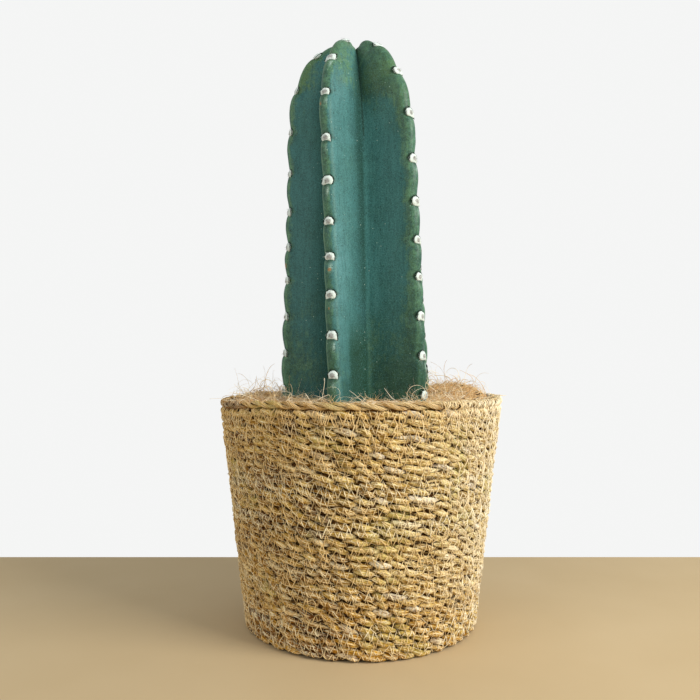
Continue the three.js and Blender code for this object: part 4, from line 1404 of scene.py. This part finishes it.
class CACTUS_OT_basket(bpy.types.Operator):
    """Coil the basket's wall and base from rows of two-ply cord"""
    bl_idname = "cactus.basket"
    bl_label = "Basket"

    def execute(self, context):
        settings = context.scene.cactus_basket
        tones = ((0.0, settings.dark[:]), (0.2, settings.brown[:]), (0.5, settings.middle[:]),
                 (0.8, settings.pale[:]), (1.0, settings.bleached[:]))
        # Painted shade on surfaces less than 1.4 to 2.2 mm out from a row's centre line; 0.2 pales the
        # straw towards the lit side, part bleaching and part painted light
        straw = seagrass_material("seagrass_cord", tones, 0.2, "out", 1.4, 2.2)
        tree, lens_length = cord_tree(), settings.lens_length / MM
        values = {"Plies": 2, "Strands": 1, "Ply Offset": settings.ply_offset, "Strand Offset": 0.0,
                  "Strand Radius": settings.ply_radius, "Strand Twist": 0.0, "Sides": 8, "Ridge": 0.12,
                  "Swell": PLY_SWELL, "Vary": PLY_VARY, "Uneven": 0.1, "Seed": 3, "Material": straw}
        for half, rows in WALL_HALVES:
            rings = Rings()
            rings.add_wall(rows, lens_length)
            rings.make("cord_rows_" + half, tree, values, "seagrass_cord", ["seagrass_basket"])
        base = Rings()
        radii = np.arange(5.0, FOOT_RADIUS - 1.7 * ROW_PITCH, ROW_PITCH)
        base.add_flat(radii, ROW_PITCH / 2 + 0.9, lens_length, 4.6, 6, 600)
        plain = seagrass_material("base_seagrass", tones)
        values = dict(values, Sides=5, Ridge=0.0, Vary=0.0, Seed=6, Material=plain)
        base.make("base_coil", tree, values, "seagrass_cord")
        return {"FINISHED"}


class CACTUS_OT_seam_fill(bpy.types.Operator):
    """Pack the seams between the wall's rows with plain dark straw, painted shade deep in the seams"""
    bl_idname = "cactus.seam_fill"
    bl_label = "Seam fill"

    def execute(self, context):
        # Dark tones: painted shade in the seams behind the rows and under the rim cord
        tones = ((0.0, colour(44, 22, 8)), (0.5, colour(88, 54, 24)), (1.0, colour(128, 88, 44)))
        straw = seagrass_material("seam_shade_straw", tones)
        rings = Rings()
        for row in range(1, CORD_ROWS + 1):
            z = ROW_PITCH * row + (0.7 if row == CORD_ROWS else 0)
            rings.add_flat([basket_radius(z) - CORD_REACH - 0.4], z, 40, 8.5, 20, row, hung=True)
        rings.make("seam_fill", cord_tree(), {
            "Plies": 1, "Strands": 1, "Ply Offset": 0.2 * MM, "Strand Offset": 0.0,
            "Strand Radius": 2.1 * MM, "Strand Twist": 0.0, "Sides": 4, "Ridge": 0.0, "Swell": 0.0,
            "Uneven": 0.15, "Seed": 14, "Material": straw}, "seagrass_cord")
        return {"FINISHED"}


class CACTUS_OT_stitches(bpy.types.Operator):
    """Sew the rows together with a zigzag of thin thread"""
    bl_idname = "cactus.stitches"
    bl_label = "Stitches"

    def execute(self, context):
        settings = context.scene.cactus_basket
        # Threads paler towards the lit right side, part bleaching and part painted light
        thread = fibre_material("sewing_thread", (212, 177, 116), (238, 208, 150), (252, 238, 200), 0.6)
        pitch = settings.stitch_pitch / MM
        draw = np.random.default_rng(21)
        for half, rows in WALL_HALVES:
            lines = Lines()
            for row in rows:
                reach = 0.68 if 0 < row < CORD_ROWS - 1 else 0.45
                stitch_row(lines, row, settings, pitch, -reach, reach, draw)
            lines.make("thread_" + half, settings.thread_radius, 0.25, thread, "seagrass_cord")
        steep = Lines()
        stitch_row(steep, CORD_ROWS - 1, settings, pitch * 1.3, -1.3, 0.55, draw, 9)
        stitch_row(steep, CORD_ROWS - 2, settings, pitch * 2.0, -1.3, 1.5, draw, 12)
        rim_wraps(steep, settings, draw)
        stray_straws(steep, settings, draw)
        steep.make("rim_thread_and_straws", settings.thread_radius * 0.9, 0.3, thread, "seagrass_cord")
        return {"FINISHED"}


class CACTUS_OT_rim(bpy.types.Operator):
    """Lay the thicker twisted cord round the basket's mouth"""
    bl_idname = "cactus.rim"
    bl_label = "Rim cord"

    def execute(self, context):
        settings = context.scene.cactus_basket
        tones = ((0.0, colour(132, 92, 44)), (0.2, colour(212, 168, 98)), (0.5, colour(238, 200, 128)),
                 (0.8, colour(244, 216, 156)), (1.0, colour(248, 234, 198)))
        # Painted shade on surfaces within 1.35 to 2.0 mm of the rim cord's centre line; 0.2 pales it
        # towards the lit side, part bleaching and part painted light
        straw = seagrass_material("rim_seagrass", tones, 0.2, "away", 1.35, 2.0)
        rings = Rings()
        rings.add_flat([MOUTH_RADIUS - RIM_ROPE_RADIUS], RIM_CORD_Z, settings.rim_lens_length / MM, 2.2, 12,
                       1200, hung=True)
        rings.make("rim_cord", cord_tree(), {
            "Plies": 2, "Strands": 6, "Ply Offset": 1.62 * MM, "Strand Offset": 1.4 * MM,
            "Strand Radius": 0.86 * MM, "Strand Twist": 1.5, "Sides": 5, "Ridge": 0.0, "Swell": 0.05,
            "Uneven": 0.16, "Seed": 12, "Material": straw}, "rim_cord", ["rim_rope"])
        return {"FINISHED"}


# Mulch


def stem_outline(z):
    """The stem's outline at a height, as points round it."""
    radius, _ = crest_point(side_length(z))
    outline = []
    for rib in range(RIBS):
        angle = rib_angle(rib, z)
        for turn in np.radians([-80, -40, 0, 40, 80]):
            out = radius - CREST_ROUNDING + CREST_ROUNDING * math.cos(turn)
            outline.append(placed(out, angle, z, CREST_ROUNDING * math.sin(turn)))
        outline.append(placed(radius * GROOVE_RATIO, groove_angle(rib, z), z))
    return np.array(outline)


def ring_between(outline, share, sides):
    """A ring of points that goes from the stem's outline, at 0, to the basket's wall, at 1."""
    centre = np.array([AXIS_X, 0.0])
    away = outline[:, :2] - centre
    turns = np.unwrap(np.arctan2(away[:, 1], away[:, 0]))
    reach = np.hypot(away[:, 0], away[:, 1])
    turns = np.concatenate([turns, [turns[0] + 2 * math.pi]])
    reach = np.concatenate([reach, reach[:1]])
    points = []
    for side in range(sides):
        turn = turns[0] + 2 * math.pi * side / sides
        inner = np.interp(turn, turns, reach)
        direction = np.array([math.cos(turn), math.sin(turn)])
        start = centre + direction * (inner - 1.5)
        along = centre @ direction
        outer = -along + math.sqrt(along ** 2 - centre @ centre + MULCH_RADIUS ** 2)
        end = centre + direction * outer
        points.append(start * (1 - share) + end * share)
    return np.array(points)


def in_front(x, y):
    """How far a place lies in front of the stem, 0 to 1."""
    return float(fading(52, 88, abs(x))) if y < 0 else 0.0


def mulch_bed(rings=34, sides=200):
    """The lumpy bed of fibre between the stem and the wall, closed underneath."""
    outline = stem_outline(MULCH_LOW_Z)
    points, share = [], []
    for ring in range(rings):
        place = ring / (rings - 1)
        for x, y in ring_between(outline, place, sides):
            z = float(mulch_top(x, y)) - BED_SINK + 0.5 * ripple(x, y, 0, 3.4) + 0.65 * ripple(x, y, 9, 8)
            points.append((x, y, z - 2.6 * float(smooth(50, 95, -x))))
            cover = 0.4 + 0.6 * math.sin(math.pi * min(place + 0.12, 1.0)) if place < 0.95 else 0.0
            share.append(cover * (1 - 0.45 * in_front(x, y)))
    for ring in (rings - 1, 0):
        for x, y in ring_between(outline, ring / (rings - 1), sides):
            points.append((x, y, BED_BOTTOM_Z))
            share.append(0.0)
    last = (rings + 1) * sides
    faces = ring_faces(rings + 2, sides)
    faces += [(last + side, last + (side + 1) % sides, (side + 1) % sides, side) for side in range(sides)]
    return points, [face[::-1] for face in faces], share


def curly_fibres(length):
    """Loose fibres that rise from the bed, curl over and lie down again."""
    draw = np.random.default_rng(41)
    outline = stem_outline(MULCH_LOW_Z)
    rings = [ring_between(outline, share, 120) for share in np.linspace(0.06, 0.97, 24)]
    lines = Lines()
    made = 0
    while made < CURLS:
        x, y = rings[draw.integers(len(rings))][draw.integers(120)]
        if draw.uniform() > 0.3 + 0.7 * float(smooth(25, 75, abs(x))):
            continue
        made += 1
        front = in_front(x, y)
        thick = (0.6 + 1.2 * draw.uniform() ** 1.6) * (1 - 0.2 * front)
        place = np.array([x, y, float(mulch_top(x, y)) - 1.0])
        heading = draw.uniform(0, 2 * math.pi)
        rise = math.radians(draw.uniform(4, 44)) * (1 - 0.4 * front)
        level = math.cos(rise)
        way = np.array([math.cos(heading) * level, math.sin(heading) * level, math.sin(rise)])
        reach = length * draw.uniform(0.3, 1.25)
        steps = max(int(reach / 2.4), 6)
        curl = draw.uniform(1.4, 6.0) * (1 - 0.2 * front) / steps
        pole = np.cross(way, draw.normal(size=3))
        pole /= np.linalg.norm(pole)
        points = []
        for step in range(steps):
            points.append(tuple(place))
            pole = pole + draw.normal(size=3) * 0.09
            way = way + np.cross(pole / np.linalg.norm(pole), way) * curl
            way[2] -= 0.018 + 0.03 * front
            ground = float(mulch_top(place[0], place[1])) + 0.5
            if place[2] < ground and step > 2:
                way[2] = abs(way[2]) * 0.4
            way /= np.linalg.norm(way)
            place = place + way * reach / steps
            far = math.hypot(place[0], place[1])
            if far > FIBRE_REACH:
                place[:2] *= FIBRE_REACH / far
                way[:2] *= 0.3
            rim = BASKET_HEIGHT + 0.3 - rim_sag(math.atan2(place[0], -place[1]), RIM_CORD_Z)
            place[2] = min(max(place[2], ground - 1.0 if far < MULCH_RADIUS else rim), FIBRE_TOP_Z)
        lines.add(points, max(draw.uniform(0, 1), 0.85 * front), tapered=True, thick=thick)
    return lines


def husk_chips():
    """A few dark bits of husk that lie on the fibre near the wall."""
    draw = np.random.default_rng(17)
    lines = Lines()
    for number in range(HUSK_CHIPS):
        angle = math.radians(draw.uniform(60, 110) if number % 3 == 0 else draw.uniform(-180, 180))
        radius, heading = draw.uniform(104, 124), draw.uniform(0, 2 * math.pi)
        x, y, _ = around(radius, angle, 0)
        z, half = float(mulch_top(x, y)) + 1.3, draw.uniform(0.8, 2.2)
        step = np.array([math.cos(heading) * half, math.sin(heading) * half, draw.uniform(-0.3, 0.5)])
        middle = np.array([x, y, z])
        lines.add([tuple(middle - step), tuple(middle), tuple(middle + step)], draw.uniform(), tapered=True,
                  thick=draw.uniform(0.6, 1.3))
    return lines


class CACTUS_OT_mulch(bpy.types.Operator):
    """Dress the pot with matted and loose coconut fibre"""
    bl_idname = "cactus.mulch"
    bl_label = "Mulch"

    def execute(self, context):
        settings = context.scene.cactus_mulch
        points, faces, share = mulch_bed()
        bed = new_object("coco_fibre_bed", points, faces)
        bed.data.materials.append(mat_material())
        finish_piece(bed, ["coco_fibre_mulch"])
        scattered = (
            ("coco_fibre_matted", ("coco_fibre_strand", (200, 144, 82), (250, 210, 148), (255, 240, 200)),
             {"Density": 1.06e5, "Length": settings.fibre_length, "Thickness": settings.fibre_thickness,
              "Tilt": 1.46, "Tilt Spread": 0.16, "Bend": 0.35, "Curl": 0.9, "Curl Scale": 90.0, "Sag": 0.2,
              "Reach": 127 * MM, "Steps": 6, "Seed": 31}),
            ("coco_fibre_fuzz", ("coco_fibre_down", (238, 206, 166), (254, 235, 206), (255, 248, 234)),
             {"Density": 3.4e4, "Length": 11 * MM, "Thickness": 0.11 * MM, "Tilt": 0.85,
              "Tilt Spread": 0.5, "Bend": 0.6, "Curl": 1.5, "Curl Scale": 110.0, "Sag": 0.1,
              "Reach": 129 * MM, "Steps": 4, "Seed": 37}))
        for name, look, values in scattered:
            piece = new_object(name, points, faces, attributes={"share": share})
            apply_tree(piece, fibre_tree(), dict(values, **{
                "Length Spread": 0.5, "Lowest": FIBRE_LOW_Z * MM, "Sides": 3,
                "Material": fibre_material(*look)}))
            finish_piece(piece)
        pale = fibre_material("coco_fibre_curl", (200, 154, 94), (246, 216, 162), (254, 246, 222))
        loose = curly_fibres(settings.curl_length / MM)
        loose.make("coco_fibre_loose", settings.curl_radius, 0.3, pale, "coco_fibre")
        bark = fibre_material("coco_husk", (48, 30, 18), (78, 50, 28), (104, 70, 40))
        husk_chips().make("coco_husk_chips", 0.8 * MM, 0.5, bark, "coco_fibre")
        return {"FINISHED"}


class CACTUS_OT_inner_pot(bpy.types.Operator):
    """Finish the plastic pot and the soil that the basket hides"""
    bl_idname = "cactus.inner_pot"
    bl_label = "Inner pot and soil"

    def execute(self, context):
        for name, made in (("nursery_pot", pot_material()), ("potting_soil", soil_material())):
            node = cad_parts[name]
            node.data.materials.clear()
            node.data.materials.append(made)
        return {"FINISHED"}


# Stage


def area_light(name, place, size, power, tint):
    """A square light that faces the plant."""
    light = bpy.data.lights.new(name, "AREA")
    light.size = size
    light.energy = power
    light.color = tint
    made = bpy.data.objects.new(name, light)
    made.location = place
    made.rotation_euler = (Vector(LIT_PLACE) - Vector(place)).to_track_quat("-Z", "Y").to_euler()
    bpy.context.scene.collection.objects.link(made)


class CACTUS_OT_stage(bpy.types.Operator):
    """Set the floor, the soft light and the camera"""
    bl_idname = "cactus.stage"
    bl_label = "Stage"

    def execute(self, context):
        settings = context.scene.cactus_stage
        half, back = settings.floor_half / MM, settings.floor_back / MM
        corners = ((-half, -half, 0), (half, -half, 0), (half, back, 0), (-half, back, 0))
        floor = new_object("studio_floor", corners, [(0, 1, 2, 3)])
        paint = Paint("pale_floor", 0.75, specular_ior_level=0.2)
        paint.link(paint.place.noise(6, 3).between(colour(188, 164, 124), colour(200, 178, 140)))
        floor.data.materials.append(paint.material)

        world = bpy.data.worlds.new("studio_sky")
        world.use_nodes = True
        sky = world.node_tree
        background = sky.nodes["Background"]
        background.inputs["Color"].default_value = (0.93, 0.97, 1.0, 1)
        background.inputs["Strength"].default_value = settings.sky_strength
        mix = wire(sky, "ShaderNodeMixShader", {
            0: wire(sky, "ShaderNodeLightPath", output="Is Camera Ray"),
            1: Wire(sky, background.outputs[0]),
            2: wire(sky, "ShaderNodeBackground", {"Color": (0.91, 0.915, 0.91, 1), "Strength": 1.0})})
        sky.links.new(mix.socket, sky.nodes["World Output"].inputs["Surface"])
        context.scene.world = world

        area_light("key_light", KEY_PLACE, 0.9, settings.key_power, (1.0, 0.98, 0.94))
        area_light("fill_light", FILL_PLACE, 1.2, settings.key_power * 0.19, (1.0, 0.97, 0.9))

        lens = bpy.data.cameras.new("photo_camera")
        lens.sensor_width = SENSOR_WIDTH
        lens.lens = FOCAL_LENGTH
        camera = bpy.data.objects.new("photo_camera", lens)
        camera.location = CAMERA_PLACE
        camera.rotation_euler = (math.pi / 2, 0, 0)
        context.scene.collection.objects.link(camera)
        context.scene.camera = camera
        context.scene.view_settings.view_transform = "Standard"
        return {"FINISHED"}


OPERATORS = (CACTUS_OT_stage, CACTUS_OT_stem, CACTUS_OT_areoles, CACTUS_OT_basket, CACTUS_OT_seam_fill,
             CACTUS_OT_stitches, CACTUS_OT_rim, CACTUS_OT_mulch, CACTUS_OT_inner_pot)


class CACTUS_PT_panel(bpy.types.Panel):
    """Lists the plant's pieces and their settings"""
    bl_label = "Potted column cactus"
    bl_space_type = "VIEW_3D"
    bl_region_type = "UI"
    bl_category = "Cactus"

    def draw(self, context):
        for key, _ in SETTINGS:
            group = getattr(context.scene, key)
            box = self.layout.box()
            for name in group.__annotations__:
                box.prop(group, name)
        for operator in OPERATORS:
            self.layout.operator(operator.bl_idname)


CLASSES = tuple(group for _, group in SETTINGS) + OPERATORS + (CACTUS_PT_panel,)


def register():
    for made in CLASSES:
        bpy.utils.register_class(made)
    for key, group in SETTINGS:
        setattr(bpy.types.Scene, key, bpy.props.PointerProperty(type=group))


def unregister():
    for key, _ in SETTINGS:
        delattr(bpy.types.Scene, key)
    for made in reversed(CLASSES):
        bpy.utils.unregister_class(made)


def main():
    register()
    bpy.ops.cactus.stage()
    bpy.ops.cactus.stem()
    bpy.ops.cactus.areoles()
    bpy.ops.cactus.basket()
    bpy.ops.cactus.seam_fill()
    bpy.ops.cactus.stitches()
    bpy.ops.cactus.rim()
    bpy.ops.cactus.mulch()
    bpy.ops.cactus.inner_pot()


if __name__ == "__main__":
    main()
